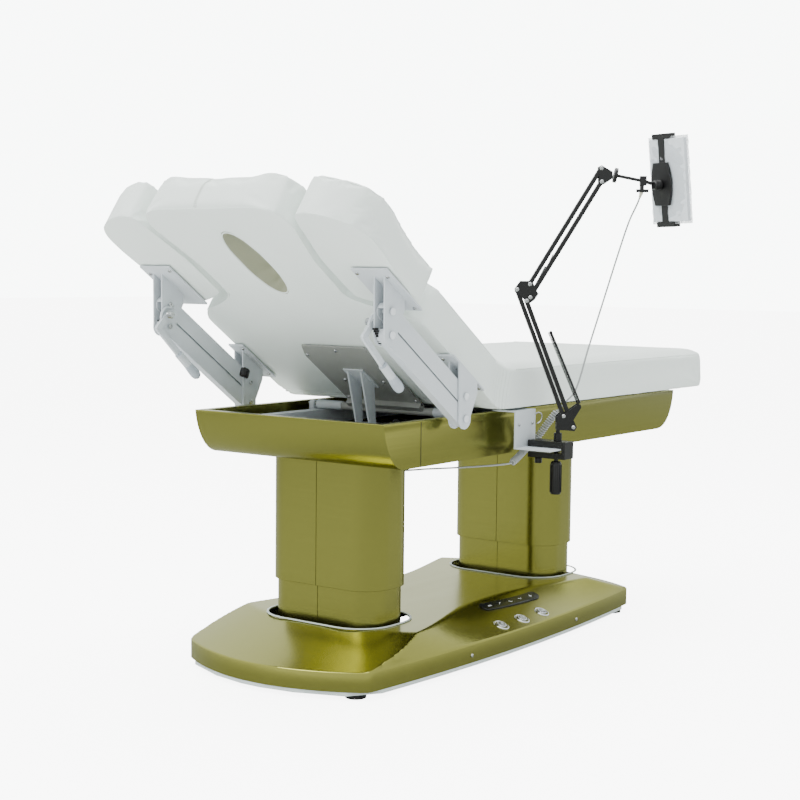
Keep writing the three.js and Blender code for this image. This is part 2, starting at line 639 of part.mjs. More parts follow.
// ---------- tablet arm ----------
const CLAMP = { x: ARM_POST.x, low: 562, high: 609, back: -496, front: -380 };
const SCREW_Y = ARM_POST.y + 4;
const clampBody = cut(
  block([CLAMP.x - 24, CLAMP.back, CLAMP.low], [CLAMP.x + 24, CLAMP.front, CLAMP.high]),
  block(
    [CLAMP.x - 30, CLAMP.back + 10.5, CLAMP.low + 15],
    [CLAMP.x + 30, CLAMP.front + 5, BRACKET.footZ + SHEET + 0.4],
  ),
  rod(6.5, [ARM_POST.x, SCREW_Y, CLAMP.low - 5], [ARM_POST.x, SCREW_Y, CLAMP.low + 20], 14),
);
add('arm_clamp', clampBody, BLACK_PLASTIC);
const SCREW_TOP = BRACKET.footZ - GAP;
const screw = turned([
  [0, 464], [13, 464], [14.5, 468], [15, 548], [12, 554], [6, 554], [6, 580], [12, 580], [12, SCREW_TOP],
  [0, SCREW_TOP],
]);
add('clamp_screw', screw.translate(ARM_POST.x, SCREW_Y, 0), BLACK_PLASTIC);

const arm = new THREE.Group();
arm.position.set(ARM_POST.x, ARM_POST.y, 0);
arm.rotation.z = ARM_POST.turn;
bed.add(arm);

const BASE_PINS = [[13, 678], [39.5, 648]];
const ELBOW_LOWER = [[-117.5, 1017], [-91, 987]];
const ELBOW_UPPER = [[-83.5, 1031.5], [-82, 996]];
const WRIST_PINS = [[101, 1340.5], [102.5, 1305]];
const PLATE_Y = [[-17, -14], [14, 17]];

function platePair(outline, bridge, holes) {
  const sides = PLATE_Y.map(([low, high]) => sideways(shapeFrom(outline), low, high));
  const bores = holes.map(([x, z]) => rod(3.3, [x, -20, z], [x, 20, z], 10));
  return cut(join(...sides, bridge), ...bores);
}

const swivel = platePair(
  [
    [-6, 642], [43, 638], [49, 648], [40, 668], [60, 702], [58, 710], [51, 711], [18, 687], [5, 687],
    [-6, 676],
  ],
  block([-6, -17, 640], [16, 17, 660]),
  BASE_PINS,
);
const post = turned([
  [0, CLAMP.high + GAP], [11, CLAMP.high + GAP], [11, 631], [5.5, 632], [5.5, 645], [0, 645],
]);
addTo(arm, 'arm_swivel', join(swivel, post), BLACK_STEEL);

// One bar of a parallelogram, carried between the side plates with its own pivot pins.
function bar(from, to) {
  const pins = [from, to].map(([x, z]) => rod(3, [x, -18, z], [x, 18, z], 10));
  return join(slat(from, to, BAR.radius, -BAR.halfWidth, BAR.halfWidth), ...pins);
}

addTo(arm, 'lower_bar_outer', bar(BASE_PINS[0], ELBOW_LOWER[0]), BLACK_STEEL);
addTo(arm, 'lower_bar_inner', bar(BASE_PINS[1], ELBOW_LOWER[1]), BLACK_STEEL);
addTo(arm, 'upper_bar_outer', bar(ELBOW_UPPER[0], WRIST_PINS[0]), BLACK_STEEL);
addTo(arm, 'upper_bar_inner', bar(ELBOW_UPPER[1], WRIST_PINS[1]), BLACK_STEEL);

const elbow = platePair(
  [
    [-123, 1019], [-122, 1010], [-116, 1006], [-84, 980], [-71, 989], [-60, 1006], [-66, 1015], [-76, 1037],
    [-83, 1040], [-108, 1040],
  ],
  block([-106, -17, 1027], [-96, 17, 1034]),
  [...ELBOW_LOWER, ...ELBOW_UPPER],
);
addTo(arm, 'elbow_plates', elbow, BLACK_STEEL);
const wrist = platePair(
  [[94, 1345], [101, 1349], [131, 1332], [131, 1314], [108, 1298], [96, 1299]],
  block([117, -17, 1314], [131, 17, 1332]),
  WRIST_PINS,
);
addTo(arm, 'wrist_plates', wrist, BLACK_STEEL);

// Rod with a round lock knob, a clamp joint with its thumb screw, and a neck to the ball.
const HOLDER = { start: [136, 1324], joint: [214, 1309], ball: [249.5, 1298.5] };
const rodAt = (t, along = HOLDER.joint) => [
  HOLDER.start[0] + (along[0] - HOLDER.start[0]) * t, 0, HOLDER.start[1] + (along[1] - HOLDER.start[1]) * t,
];
const [jointX, jointZ] = HOLDER.joint;
const [ballX, ballZ] = HOLDER.ball;
const holderRod = join(
  rod(4.5, rodAt(0), rodAt(1), 12),
  rod(20, rodAt(0), rodAt(0.11), 20),
  block([jointX - 8, -9, jointZ - 12], [jointX + 9, 9, jointZ + 13]),
  rod(4, [jointX, 0, jointZ - 10], [jointX - 1, 0, jointZ - 24], 10),
  block([jointX - 17, -6, jointZ - 30], [jointX + 15, 6, jointZ - 22]),
  block([jointX - 6, 6, jointZ - 24], [jointX + 4, 17, jointZ - 4]),
  rod(5, rodAt(1), [ballX - 13, 0, ballZ + 4], 10),
);
addTo(arm, 'holder_rod', holderRod, BLACK_PLASTIC);

// Tablet holder: plate behind a tablet, gripped by a jaw above and a jaw below.
const TABLET = { low: [-86, -100], high: [50, 120], thick: 12 };
const PLATE = { from: 16, halfWidth: 35, low: -56, high: 58 };
const holder = new THREE.Group();
holder.position.set(ballX, 0, ballZ);
holder.rotation.set(0, -6.3 * DEG, 32.2 * DEG, 'ZYX');
arm.add(holder);
const holderPlate = join(
  new THREE.SphereGeometry(12, 14, 10),
  rod(6, [5, 0, 0], [18, 0, 0], 12),
  block([PLATE.from, -PLATE.halfWidth, PLATE.low], [PLATE.from + 8, PLATE.halfWidth, PLATE.high]),
);
addTo(holder, 'holder_plate', holderPlate, BLACK_PLASTIC);
const jawFrom = PLATE.from + 8 + GAP;
for (const [name, side, edge] of [['jaw_upper', 1, TABLET.high[1]], ['jaw_lower', -1, -TABLET.low[1]]]) {
  const near = edge + GAP;
  const pieces = [
    [[jawFrom, -12, 24], [jawFrom + 2.5, 12, near + 6]],
    [[jawFrom, -PLATE.halfWidth, near], [jawFrom + 22, PLATE.halfWidth, near + 14]],
    [[jawFrom + 18, -PLATE.halfWidth, near - 6], [jawFrom + 22, PLATE.halfWidth, near + 2]],
  ];
  const jaw = join(...pieces.map(([low, high]) => {
    const [from, to] = [low[2] * side, high[2] * side].sort((a, b) => a - b);
    return block([low[0], low[1], from], [high[0], high[1], to]);
  }));
  addTo(holder, name, jaw, BLACK_PLASTIC);
}
const tabletFrom = jawFrom + 2.5 + GAP;
const tabletBody = block([tabletFrom, ...TABLET.low], [tabletFrom + TABLET.thick, ...TABLET.high]);
addTo(holder, 'tablet', tabletBody, TABLET_WHITE);

// ---------- cord ----------
function tubeAlong(points, radius, sides, steps) {
  const curve = new THREE.CatmullRomCurve3(points.map((p) => new THREE.Vector3(...p)), false, 'centripetal');
  const section = new THREE.Shape();
  section.absarc(0, 0, radius, 0, 2 * Math.PI);
  const ring = section.getPoints(sides).slice(0, sides);
  return new THREE.ExtrudeGeometry(new THREE.Shape(ring), { steps, bevelEnabled: false, extrudePath: curve });
}

const TRAY_RUN = [
  [-196, -60, 559.7], [-196, -61, 546], [-194, -70, 530], [-184, -97, 521], [-163, -123, 521.5],
  [-136.6, -150, 524], [-88.8, -200, 526.5], [-40.5, -250, 530], [-17, -298, 535.5], [-6, -322, 539],
  [-1.8, -339.1, 542.4],
];
const COIL_RUN = [
  [-0.4, -340.5, 543.4], [12, -342, 548], [28, -343.5, 556], [61.5, -346, 574.6], [81, -352, 589.5],
  [96, -364, 607.6], [107, -391, 648.6], [120, -414.5, 683.7],
];
const ARM_RUN = [
  [120.3, -415.1, 684.1], [126, -432, 706], [135, -460, 740], [145, -491, 854], [158, -530, 993],
  [169, -563, 1111], [178.5, -590.5, 1203], [186, -611, 1252], [188.5, -618, 1274],
];
add('cord_tray_run', tubeAlong(TRAY_RUN, CORD_RADIUS, 8, 30), CORD_GREY);
add('cord_coil', tubeAlong(COIL_RUN, COIL_RADIUS, 10, 20), CORD_GREY);
add('cord_arm_run', tubeAlong(ARM_RUN, CORD_RADIUS, 8, 50), CORD_GREY);

// ---------- origin: middle of the footprint, on the floor ----------
const box = new THREE.Box3();
bed.updateMatrixWorld(true);
bed.traverse((object) => {
  if (object.isMesh && !object.name.startsWith('cord_')) box.expandByObject(object, true);
});
bed.position.set(-(box.min.x + box.max.x) / 2, -(box.min.y + box.max.y) / 2, -box.min.z);

export default bed;
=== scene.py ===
"""Facial treatment bed: camera, studio, upholstery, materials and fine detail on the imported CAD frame."""
import math

import bmesh
import bpy
import numpy as np
from mathutils import Matrix, Vector, noise
from mathutils.bvhtree import BVHTree


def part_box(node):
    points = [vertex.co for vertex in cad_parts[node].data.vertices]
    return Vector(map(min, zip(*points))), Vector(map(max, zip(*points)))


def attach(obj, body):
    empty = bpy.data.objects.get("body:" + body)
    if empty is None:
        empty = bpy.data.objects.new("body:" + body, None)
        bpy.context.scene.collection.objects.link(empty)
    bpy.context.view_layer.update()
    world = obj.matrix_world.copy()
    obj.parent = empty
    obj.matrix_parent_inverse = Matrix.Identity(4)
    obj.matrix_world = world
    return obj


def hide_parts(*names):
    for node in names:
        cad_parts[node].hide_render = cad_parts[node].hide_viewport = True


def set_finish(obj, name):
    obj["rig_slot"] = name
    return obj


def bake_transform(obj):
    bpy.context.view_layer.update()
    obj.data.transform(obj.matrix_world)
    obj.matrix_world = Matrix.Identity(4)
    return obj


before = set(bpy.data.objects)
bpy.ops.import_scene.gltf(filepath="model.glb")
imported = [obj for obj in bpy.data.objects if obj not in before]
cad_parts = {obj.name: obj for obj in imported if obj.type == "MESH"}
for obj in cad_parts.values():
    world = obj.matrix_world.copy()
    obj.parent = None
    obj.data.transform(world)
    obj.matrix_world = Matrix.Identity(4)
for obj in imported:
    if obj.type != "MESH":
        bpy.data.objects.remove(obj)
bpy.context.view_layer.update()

MM = 0.001


def middle(node):
    low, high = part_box(node)
    return (low + high) / 2


# ---------- places ----------
# The CAD is drawn with X from the head (-) to the foot (+) and Z up, in millimetres; its origin is
# found from the base cover, whose middle lies 91 mm along X.
BASE_MIDDLE_X = 91
base_middle = middle("base_cover")
ORIGIN = Vector((base_middle.x - BASE_MIDDLE_X * MM, base_middle.y, 0))


def at(x, y, z):
    """Row-frame point, in metres, of a point of the bed in millimetres."""
    return ORIGIN + Vector((x, y, z)) * MM


HINGE = (-108, 678)
BACK_ANGLE = math.radians(34)
CREASE_ANGLE = BACK_ANGLE / 2


def on_back(x, y, z):
    """Row-frame point of a point of the backrest, drawn flat from its hinge."""
    c, s = math.cos(BACK_ANGLE), math.sin(BACK_ANGLE)
    return at(HINGE[0] + x * c + z * s, y, HINGE[1] - x * s + z * c)


BACK_UP = (on_back(0, 0, 1) - on_back(0, 0, 0)).normalized()
BACK_ALONG = (on_back(1, 0, 0) - on_back(0, 0, 0)).normalized()

ARM_POST = (45, -460)
ARM_TURN = math.radians(-53.8)
ARM_ALONG = Vector((math.cos(ARM_TURN), math.sin(ARM_TURN), 0))
ARM_ACROSS = Vector((-math.sin(ARM_TURN), math.cos(ARM_TURN), 0))


def on_arm(h, y, z):
    """Row-frame point of a point of the tablet arm: h along its plane, y across it."""
    return at(*ARM_POST, z) + (ARM_ALONG * h + ARM_ACROSS * y) * MM


BALL = (249.5, 0, 1298.5)
HOLDER_TURN = (
    Matrix.Rotation(ARM_TURN, 3, "Z")
    @ Matrix.Rotation(math.radians(32.2), 3, "Z")
    @ Matrix.Rotation(math.radians(-6.3), 3, "Y")
)


def on_holder(x, y, z):
    """Row-frame point of a point of the tablet holder, measured from its ball joint."""
    return on_arm(*BALL) + HOLDER_TURN @ Vector((x, y, z)) * MM


# ---------- camera ----------
CAMERA_PLACE = at(-3588.0, -2591.9, 1062.7)
CAMERA_YAW = math.radians(36.233)
CAMERA_PITCH = math.radians(-4.7336)
CAMERA_ROLL = math.radians(0.6223)
CAMERA_LENS = 70.1


def add_camera():
    camera = bpy.data.objects.new("camera", bpy.data.cameras.new("camera"))
    bpy.context.scene.collection.objects.link(camera)
    camera.data.sensor_width = 36
    camera.data.lens = CAMERA_LENS
    camera.data.clip_end = 60
    ahead = Vector((
        math.cos(CAMERA_PITCH) * math.cos(CAMERA_YAW),
        math.cos(CAMERA_PITCH) * math.sin(CAMERA_YAW),
        math.sin(CAMERA_PITCH),
    ))
    right = ahead.cross(Vector((0, 0, 1))).normalized()
    up = right.cross(ahead)
    c, s = math.cos(CAMERA_ROLL), math.sin(CAMERA_ROLL)
    rolled_right = right * c + up * s
    rolled_up = up * c - right * s
    turn = Matrix((rolled_right, rolled_up, -ahead)).transposed()
    camera.matrix_world = Matrix.Translation(CAMERA_PLACE) @ turn.to_4x4()
    bpy.context.scene.camera = camera


# ---------- materials ----------
def add_node(tree, kind, **values):
    """A shader node with input values set, named with _ for a space."""
    node = tree.nodes.new(kind)
    for socket, value in values.items():
        node.inputs[socket.replace("_", " ")].default_value = value
    return node


def colour_mix(tree, share, low, high):
    """Mix of two colours by a linked share."""
    mix = tree.nodes.new("ShaderNodeMix")
    mix.data_type = "RGBA"
    mix.inputs["A"].default_value = (*low, 1)
    mix.inputs["B"].default_value = (*high, 1)
    tree.links.new(share, mix.inputs["Factor"])
    return mix.outputs["Result"]


class Finish:
    """A procedural material, with helpers that add texture to its shader."""

    def __init__(self, name, colour, roughness, metallic=0.0, **sockets):
        self.made = bpy.data.materials.new(name)
        self.made.use_nodes = True
        self.made.diffuse_color = (*colour, 1)
        self.tree = self.made.node_tree
        self.links = self.tree.links
        self.shader = self.tree.nodes["Principled BSDF"]
        self.colour = colour
        self.roughness = roughness
        self.set("Base Color", (*colour, 1))
        self.set("Roughness", roughness)
        self.set("Metallic", metallic)
        for socket, value in sockets.items():
            self.set(socket.replace("_", " "), value)

    def set(self, socket, value):
        self.shader.inputs[socket].default_value = value

    def place(self, stretch=(1, 1, 1)):
        where = self.tree.nodes.new("ShaderNodeTexCoord")
        scaled = add_node(self.tree, "ShaderNodeMapping", Scale=stretch)
        self.links.new(where.outputs["Object"], scaled.inputs["Vector"])
        return scaled.outputs["Vector"]

    def grain(self, scale, stretch=(1, 1, 1), detail=3.0, roughness=0.55):
        texture = add_node(self.tree, "ShaderNodeTexNoise", Scale=scale, Detail=detail, Roughness=roughness)
        self.links.new(self.place(stretch), texture.inputs["Vector"])
        return texture.outputs["Fac"]

    def cells(self, scale):
        texture = add_node(self.tree, "ShaderNodeTexVoronoi", Scale=scale)
        self.links.new(self.place(), texture.inputs["Vector"])
        return texture.outputs["Distance"]

    def between(self, value, low, high):
        """A value from 0 to 1 mapped to the range low to high."""
        mapped = add_node(
            self.tree, "ShaderNodeMapRange", From_Min=0.3, From_Max=0.7, To_Min=low, To_Max=high,
        )
        self.links.new(value, mapped.inputs["Value"])
        return mapped.outputs["Result"]

    def tint(self, value, amount):
        """Darkens the base colour by the amount where the value is low."""
        dark = [c * (1 - amount) for c in self.colour]
        mixed = colour_mix(self.tree, self.between(value, 0, 1), dark, self.colour)
        self.links.new(mixed, self.shader.inputs["Base Color"])
        return self

    def vary_roughness(self, value, amount):
        low, high = self.roughness - amount, self.roughness + amount
        self.links.new(self.between(value, low, high), self.shader.inputs["Roughness"])
        return self

    def bump(self, value, strength, distance):
        """Adds a bump on top of any that is already there."""
        bump = add_node(self.tree, "ShaderNodeBump", Strength=strength, Distance=distance)
        self.links.new(value, bump.inputs["Height"])
        normal = self.shader.inputs["Normal"]
        if normal.links:
            self.links.new(normal.links[0].from_socket, bump.inputs["Normal"])
        self.links.new(bump.outputs["Normal"], normal)
        return self


GOLD_COLOUR = (0.325, 0.318, 0.078)


def brushed_gold(name, along):
    """Olive-gold stainless steel, brushed along one axis."""
    stretch = tuple(0.25 if axis == along else 34 for axis in "XYZ")
    cloudy = tuple(0.3 if axis == along else 1.5 for axis in "XYZ")
    gold = Finish(name, GOLD_COLOUR, 0.24, 1.0)
    gold.tint(gold.grain(14, stretch), 0.07)
    gold.vary_roughness(gold.grain(5, cloudy), 0.02)
    gold.bump(gold.grain(14, stretch), 0.02, 0.0002)
    return gold.made


def leather(name, colour):
    hide = Finish(name, colour, 0.46, Coat_Weight=0.06, Sheen_Weight=0.05)
    hide.tint(hide.grain(2.2), 0.035)
    hide.vary_roughness(hide.grain(9), 0.05)
    hide.bump(hide.grain(7, detail=4.0), 0.16, 0.006)
    hide.bump(hide.cells(620), 0.13, 0.0005)
    hide.bump(hide.grain(1500, detail=2.0), 0.07, 0.0003)
    return hide.made


def powder_coat(name, colour, roughness=0.42):
    paint = Finish(name, colour, roughness)
    paint.tint(paint.grain(30), 0.03)
    paint.vary_roughness(paint.grain(60), 0.05)
    paint.bump(paint.grain(2300, detail=1.0), 0.12, 0.0002)
    return paint.made


def moulded(name, colour, roughness, grain=900):
    plastic = Finish(name, colour, roughness)
    plastic.tint(plastic.grain(40), 0.10)
    plastic.vary_roughness(plastic.grain(25), 0.06)
    plastic.bump(plastic.grain(grain, detail=2.0), 0.10, 0.0003)
    return plastic.made


def machined(name, colour, roughness):
    metal = Finish(name, colour, roughness, 1.0)
    metal.tint(metal.grain(160), 0.12)
    metal.vary_roughness(metal.grain(90), 0.06)
    metal.bump(metal.grain(1400, detail=2.0), 0.06, 0.0002)
    return metal.made


def clear_film():
    film = Finish("clear_film", (0.93, 0.96, 0.99), 0.22, Transmission_Weight=0.72, IOR=1.28, Alpha=0.62)
    film.vary_roughness(film.grain(20), 0.12)
    film.bump(film.grain(55, detail=5.0), 0.7, 0.004)
    return film.made


LEATHER = leather("leather", (0.775, 0.84, 0.80))
# Darker leather colour for the wall of the face hole: painted shade of the recess.
HOLE_SHADE_LEATHER = leather("hole_shade_leather", (0.34, 0.35, 0.25))
# Stitch colour darker than the thread's own: partly thread colour, partly painted shade along the seams.
THREAD_AND_SEAM_SHADE = moulded("thread_and_seam_shade", (0.36, 0.39, 0.34), 0.8)
GOLD_LONG = brushed_gold("gold_along_x", "X")
GOLD_UP = brushed_gold("gold_along_z", "Y")
GREY = powder_coat("grey_paint", (0.56, 0.60, 0.63))
PLATE_GREY = powder_coat("plate_paint", (0.29, 0.30, 0.28), 0.5)
RIM_WHITE = moulded("rim_strip", (0.62, 0.69, 0.68), 0.38)
BLACK = moulded("black_plastic", (0.004, 0.004, 0.0045), 0.36, 900)
BLACK_STEEL = moulded("black_steel", (0.003, 0.003, 0.0035), 0.3, 1600)
STEEL = machined("steel", (0.62, 0.63, 0.64), 0.24)
CHROME = machined("chrome", (0.78, 0.79, 0.80), 0.14)
GLASS = moulded("touch_glass", (0.012, 0.014, 0.016), 0.12, 200)
RUBBER = moulded("foot_rubber", (0.008, 0.008, 0.008), 0.6)
WHITE_CAP = moulded("cap_plastic", (0.74, 0.77, 0.80), 0.35)
TABLET_WHITE = moulded("tablet_case", (0.72, 0.76, 0.80), 0.3)
CORD_GREY = moulded("cord_jacket", (0.36, 0.38, 0.38), 0.45, 1200)
FILM = clear_film()
SYMBOL = moulded("symbol_print", (0.80, 0.83, 0.84), 0.4)
CONNECTOR = moulded("connector_shell", (0.66, 0.64, 0.50), 0.4)
GRIP = moulded("grip_rubber", (0.40, 0.45, 0.50), 0.5)


# ---------- mesh helpers ----------
def object_from(name, bm):
    """A new object in the scene that takes over the bmesh."""
    mesh = bpy.data.meshes.new(name)
    bm.to_mesh(mesh)
    bm.free()
    piece = bpy.data.objects.new(name, mesh)
    bpy.context.scene.collection.objects.link(piece)
    return piece


def finish_mesh(name, bm, finish, body, slot, bevel=0.0, smooth_angle=32, segments=2):
    """A riding piece from a bmesh in row-frame metres."""
    bmesh.ops.remove_doubles(bm, verts=bm.verts, dist=1e-6)
    bmesh.ops.recalc_face_normals(bm, faces=bm.faces)
    piece = object_from(name, bm)
    piece.data.materials.append(finish)
    smooth(piece.data, smooth_angle)
    if bevel:
        add_bevel(piece, bevel, segments)
    if body:
        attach(piece, body)
    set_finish(piece, slot)
    return piece


def smooth(mesh, angle):
    mesh.polygons.foreach_set("use_smooth", [True] * len(mesh.polygons))
    mesh.set_sharp_from_angle(angle=math.radians(angle))


def add_bevel(piece, width, segments=2, angle=32):
    bevel = piece.modifiers.new("rounded_edges", "BEVEL")
    bevel.width = width * MM
    bevel.segments = segments
    bevel.limit_method = "ANGLE"
    bevel.angle_limit = math.radians(angle)
    bevel.harden_normals = True


def axes_for(direction):
    """Two directions across the given one."""
    d = Vector(direction).normalized()
    guide = Vector((0, 0, 1)) if abs(d.z) < 0.9 else Vector((1, 0, 0))
    u = d.cross(guide).normalized()
    return u, d.cross(u).normalized(), d


def add_ring(bm, centre, u, v, radius, sides):
    """Ring of corners round a centre, in the plane of the unit directions u and v, radius in mm."""
    ring = []
    for k in range(sides):
        a = 2 * math.pi * k / sides
        ring.append(bm.verts.new(centre + (u * math.cos(a) + v * math.sin(a)) * radius * MM))
    return ring


def join_rows(bm, rows, wrap=False):
    """Quads between rows of corners, closed across the ends of the rows if wrap is set."""
    for a, b in zip(rows, rows[1:]):
        for k in range(len(a) if wrap else len(a) - 1):
            j = (k + 1) % len(a)
            bm.faces.new((a[k], a[j], b[j], b[k]))


def add_turned(bm, profile, centre, axis, sides=24):
    """Turned shape: profile of (radius, height) in mm, from a centre along an axis."""
    u, v, d = axes_for(axis)
    rings = []
    for radius, height in profile:
        base = centre + d * height * MM
        if radius < 1e-6:
            rings.append([bm.verts.new(base)])
            continue
        rings.append(add_ring(bm, base, u, v, radius, sides))
    for a, b in zip(rings, rings[1:]):
        for i in range(sides):
            j = (i + 1) % sides
            corners = [a[i % len(a)], a[j % len(a)], b[j % len(b)], b[i % len(b)]]
            corners = list(dict.fromkeys(corners))
            if len(corners) > 2:
                bm.faces.new(corners)
    for ring in (rings[0], rings[-1]):
        if len(ring) > 2:
            bm.faces.new(ring)


def add_slab(bm, outline, place, low, high):
    """Prism: an outline of (a, b) pairs, placed by place(a, b, height) between two heights."""
    bottom = [bm.verts.new(place(a, b, low)) for a, b in outline]
    top = [bm.verts.new(place(a, b, high)) for a, b in outline]
    bm.faces.new(bottom)
    bm.faces.new(top)
    for i in range(len(outline)):
        j = (i + 1) % len(outline)
        bm.faces.new((bottom[i], bottom[j], top[j], top[i]))


def add_tube(bm, points, radius, sides=10, closed=False):
    """Round tube of a radius in mm along row-frame points."""
    count = len(points)
    rings = []
    u = None
    for i, p in enumerate(points):
        ahead = points[(i + 1) % count] if closed or i < count - 1 else p
        behind = points[i - 1] if closed or i > 0 else p
        d = (ahead - behind).normalized()
        if u is None:
            u = axes_for(d)[0]
        u = (u - d * u.dot(d)).normalized()
        rings.append(add_ring(bm, p, u, d.cross(u), radius, sides))
    join_rows(bm, rings + rings[:1] if closed else rings, wrap=True)
    if not closed:
        bm.faces.new(rings[0])
        bm.faces.new(rings[-1])


def smooth_path(points, steps):
    """Smooth curve through points, with a number of steps per stretch."""
    path = []
    for i in range(len(points) - 1):
        p0 = points[max(i - 1, 0)]
        p1, p2 = points[i], points[i + 1]
        p3 = points[min(i + 2, len(points) - 1)]
        span = (p2 - p1).length
        m1 = (p2 - p0) * span / max((p2 - p1).length + (p1 - p0).length, 1e-9)
        m2 = (p3 - p1) * span / max((p3 - p2).length + (p2 - p1).length, 1e-9)
        for k in range(steps):
            t = k / steps
            a, b = 2 * t**3 - 3 * t**2 + 1, t**3 - 2 * t**2 + t
            c, d = -2 * t**3 + 3 * t**2, t**3 - t**2
            path.append(p1 * a + m1 * b + p2 * c + m2 * d)
    path.append(points[-1])
    return path


def rounded_outline(half_x, half_y, radius, steps=14):
    points = []
    for sx, sy, start in ((1, 1, 0), (-1, 1, 90), (-1, -1, 180), (1, -1, 270)):
        for k in range(steps + 1):
            a = math.radians(start + 90 * k / steps)
            x = sx * (half_x - radius) + radius * math.cos(a)
            points.append((x, sy * (half_y - radius) + radius * math.sin(a)))
    return points


def turned_piece(name, profile, centres, axis, sides, finish, body, slot, **look):
    """One piece of like turned shapes, at one centre or at each centre of a list."""
    bm = bmesh.new()
    for centre in centres if isinstance(centres, list) else [centres]:
        add_turned(bm, profile, centre, axis, sides)
    return finish_mesh(name, bm, finish, body, slot, **look)


SCREW_HEAD = [(0, -1), (4.6, -1), (4.6, 0.8), (4.1, 2.0), (2.6, 2.9), (1.3, 3.1), (1.2, 1.9), (0, 1.9)]


def add_screw(bm, centre, axis, scale):
    """Dome-headed screw with a recess."""
    add_turned(bm, scaled_profile(SCREW_HEAD, scale), centre, axis, 16)


def scaled_profile(profile, scale):
    return [(r * scale, h * scale) for r, h in profile]


def thicken(piece, thickness):
    """Gives a skin its thickness, in mm, on the inside."""
    shell = piece.modifiers.new("sheet", "SOLIDIFY")
    shell.thickness = thickness * MM
    shell.offset = -1


def apply_modifiers(piece):
    graph = bpy.context.evaluated_depsgraph_get()
    shaped = bpy.data.meshes.new_from_object(piece.evaluated_get(graph))
    piece.modifiers.clear()
    piece.data = shaped


def cut_holes(piece, cutters):
    """Cuts closed prisms out of a piece."""
    for number, cutter in enumerate(cutters):
        modifier = piece.modifiers.new(f"cut_{number}", "BOOLEAN")
        modifier.operation = "DIFFERENCE"
        modifier.object = cutter
        modifier.solver = "EXACT"
    bpy.context.view_layer.update()
    apply_modifiers(piece)
    for cutter in cutters:
        bpy.data.objects.remove(cutter)


def cutter_from(outline, place, low, high):
    bm = bmesh.new()
    add_slab(bm, outline, place, low, high)
    bmesh.ops.recalc_face_normals(bm, faces=bm.faces)
    return object_from("cutter", bm)


# ---------- base cover ----------
SHEET = 2.5
COLUMNS = {"head": -322, "foot": 562}
BASE = {"length": 774, "width": 342, "rim": 22, "band": 72, "deck": 132}
END_CURVE = 0.00105
CORNER_BLEND = 26
FACET = {"width": 150, "middle": 45, "reach": 415, "power": 2.3, "least": 12}
END_SLOPE = 228
RIDGE_BLEND = 0.05


def soft_min(a, b, blend):
    h = max(blend - abs(a - b), 0) / blend
    return min(a, b) - h * h * blend / 4


def base_half_width(dx):
    side = BASE["width"] - 50 * (dx / BASE["length"]) ** 2
    end = math.sqrt(max(BASE["length"] - abs(dx), 0) / END_CURVE)
    return max(soft_min(side, end, CORNER_BLEND), 0)


def facet_width(dx):
    reach = (abs(dx - FACET["middle"]) / FACET["reach"]) ** FACET["power"]
    return max(FACET["width"] * math.exp(-reach), FACET["least"])


def deck_rise(dx, y):
    side = max(base_half_width(dx) - abs(y), 0) / facet_width(dx)
    end = max(BASE["length"] - abs(dx) - END_CURVE * y * y, 0) / END_SLOPE
    rise = soft_min(soft_min(side, end, RIDGE_BLEND), 1, RIDGE_BLEND)
    return max(rise, 0) * (BASE["deck"] - BASE["band"])


def facet_point(x, from_edge, lift=0.0):
    """Point on the near side facet, a distance in from the base's edge."""
    dx = x - BASE_MIDDLE_X
    y = -(base_half_width(dx) - from_edge)
    return at(x, y, BASE["band"] + deck_rise(dx, y) + lift)


def base_cover():
    stations = [-BASE["length"] * math.cos(math.pi * i / 230) for i in range(231)]
    edge_rings = [(0, BASE["rim"]), (0, 40), (0, BASE["band"] - 3), (0.8, BASE["band"] - 0.9)]
    across = [math.sin(math.pi / 2 * (2 * k / 110 - 1)) for k in range(111)]
    across = [0.55 * a + 0.45 * (2 * k / 110 - 1) for k, a in enumerate(across)]
    bm = bmesh.new()
    grid = []
    for dx in stations:
        row = []
        half = base_half_width(dx)

        def edge(inset, z, side):
            x = BASE_MIDDLE_X + dx * (1 - inset / BASE["length"])
            return bm.verts.new(at(x, side * max(half - inset, 0), z))

        row += [edge(inset, z, -1) for inset, z in edge_rings]
        inset = 2.6
        inner = max(half - inset, 0)
        for a in across:
            y = a * inner
            x = dx * (1 - inset / BASE["length"])
            row.append(bm.verts.new(at(BASE_MIDDLE_X + x, y, BASE["band"] + deck_rise(dx, y))))
        row += [edge(inset, z, 1) for inset, z in reversed(edge_rings)]
        grid.append(row)
    join_rows(bm, grid)
    bmesh.ops.remove_doubles(bm, verts=bm.verts, dist=2e-5)
    piece = finish_mesh("base_cover_skin", bm, GOLD_LONG, None, "gold", smooth_angle=40)
    thicken(piece, SHEET)
    cutters = [
        cutter_from(rounded_outline(127, 195, 100), lambda a, b, h, x=x: at(x + a, b, h), 60, 160)
        for x in COLUMNS.values()
    ]
    cut_holes(piece, cutters)
    smooth(piece.data, 40)
    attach(piece, "base")
    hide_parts("base_cover")


# ---------- columns ----------
SLEEVE = {"x": 99, "y": 185, "radius": 80, "wall": 3, "step": 8}


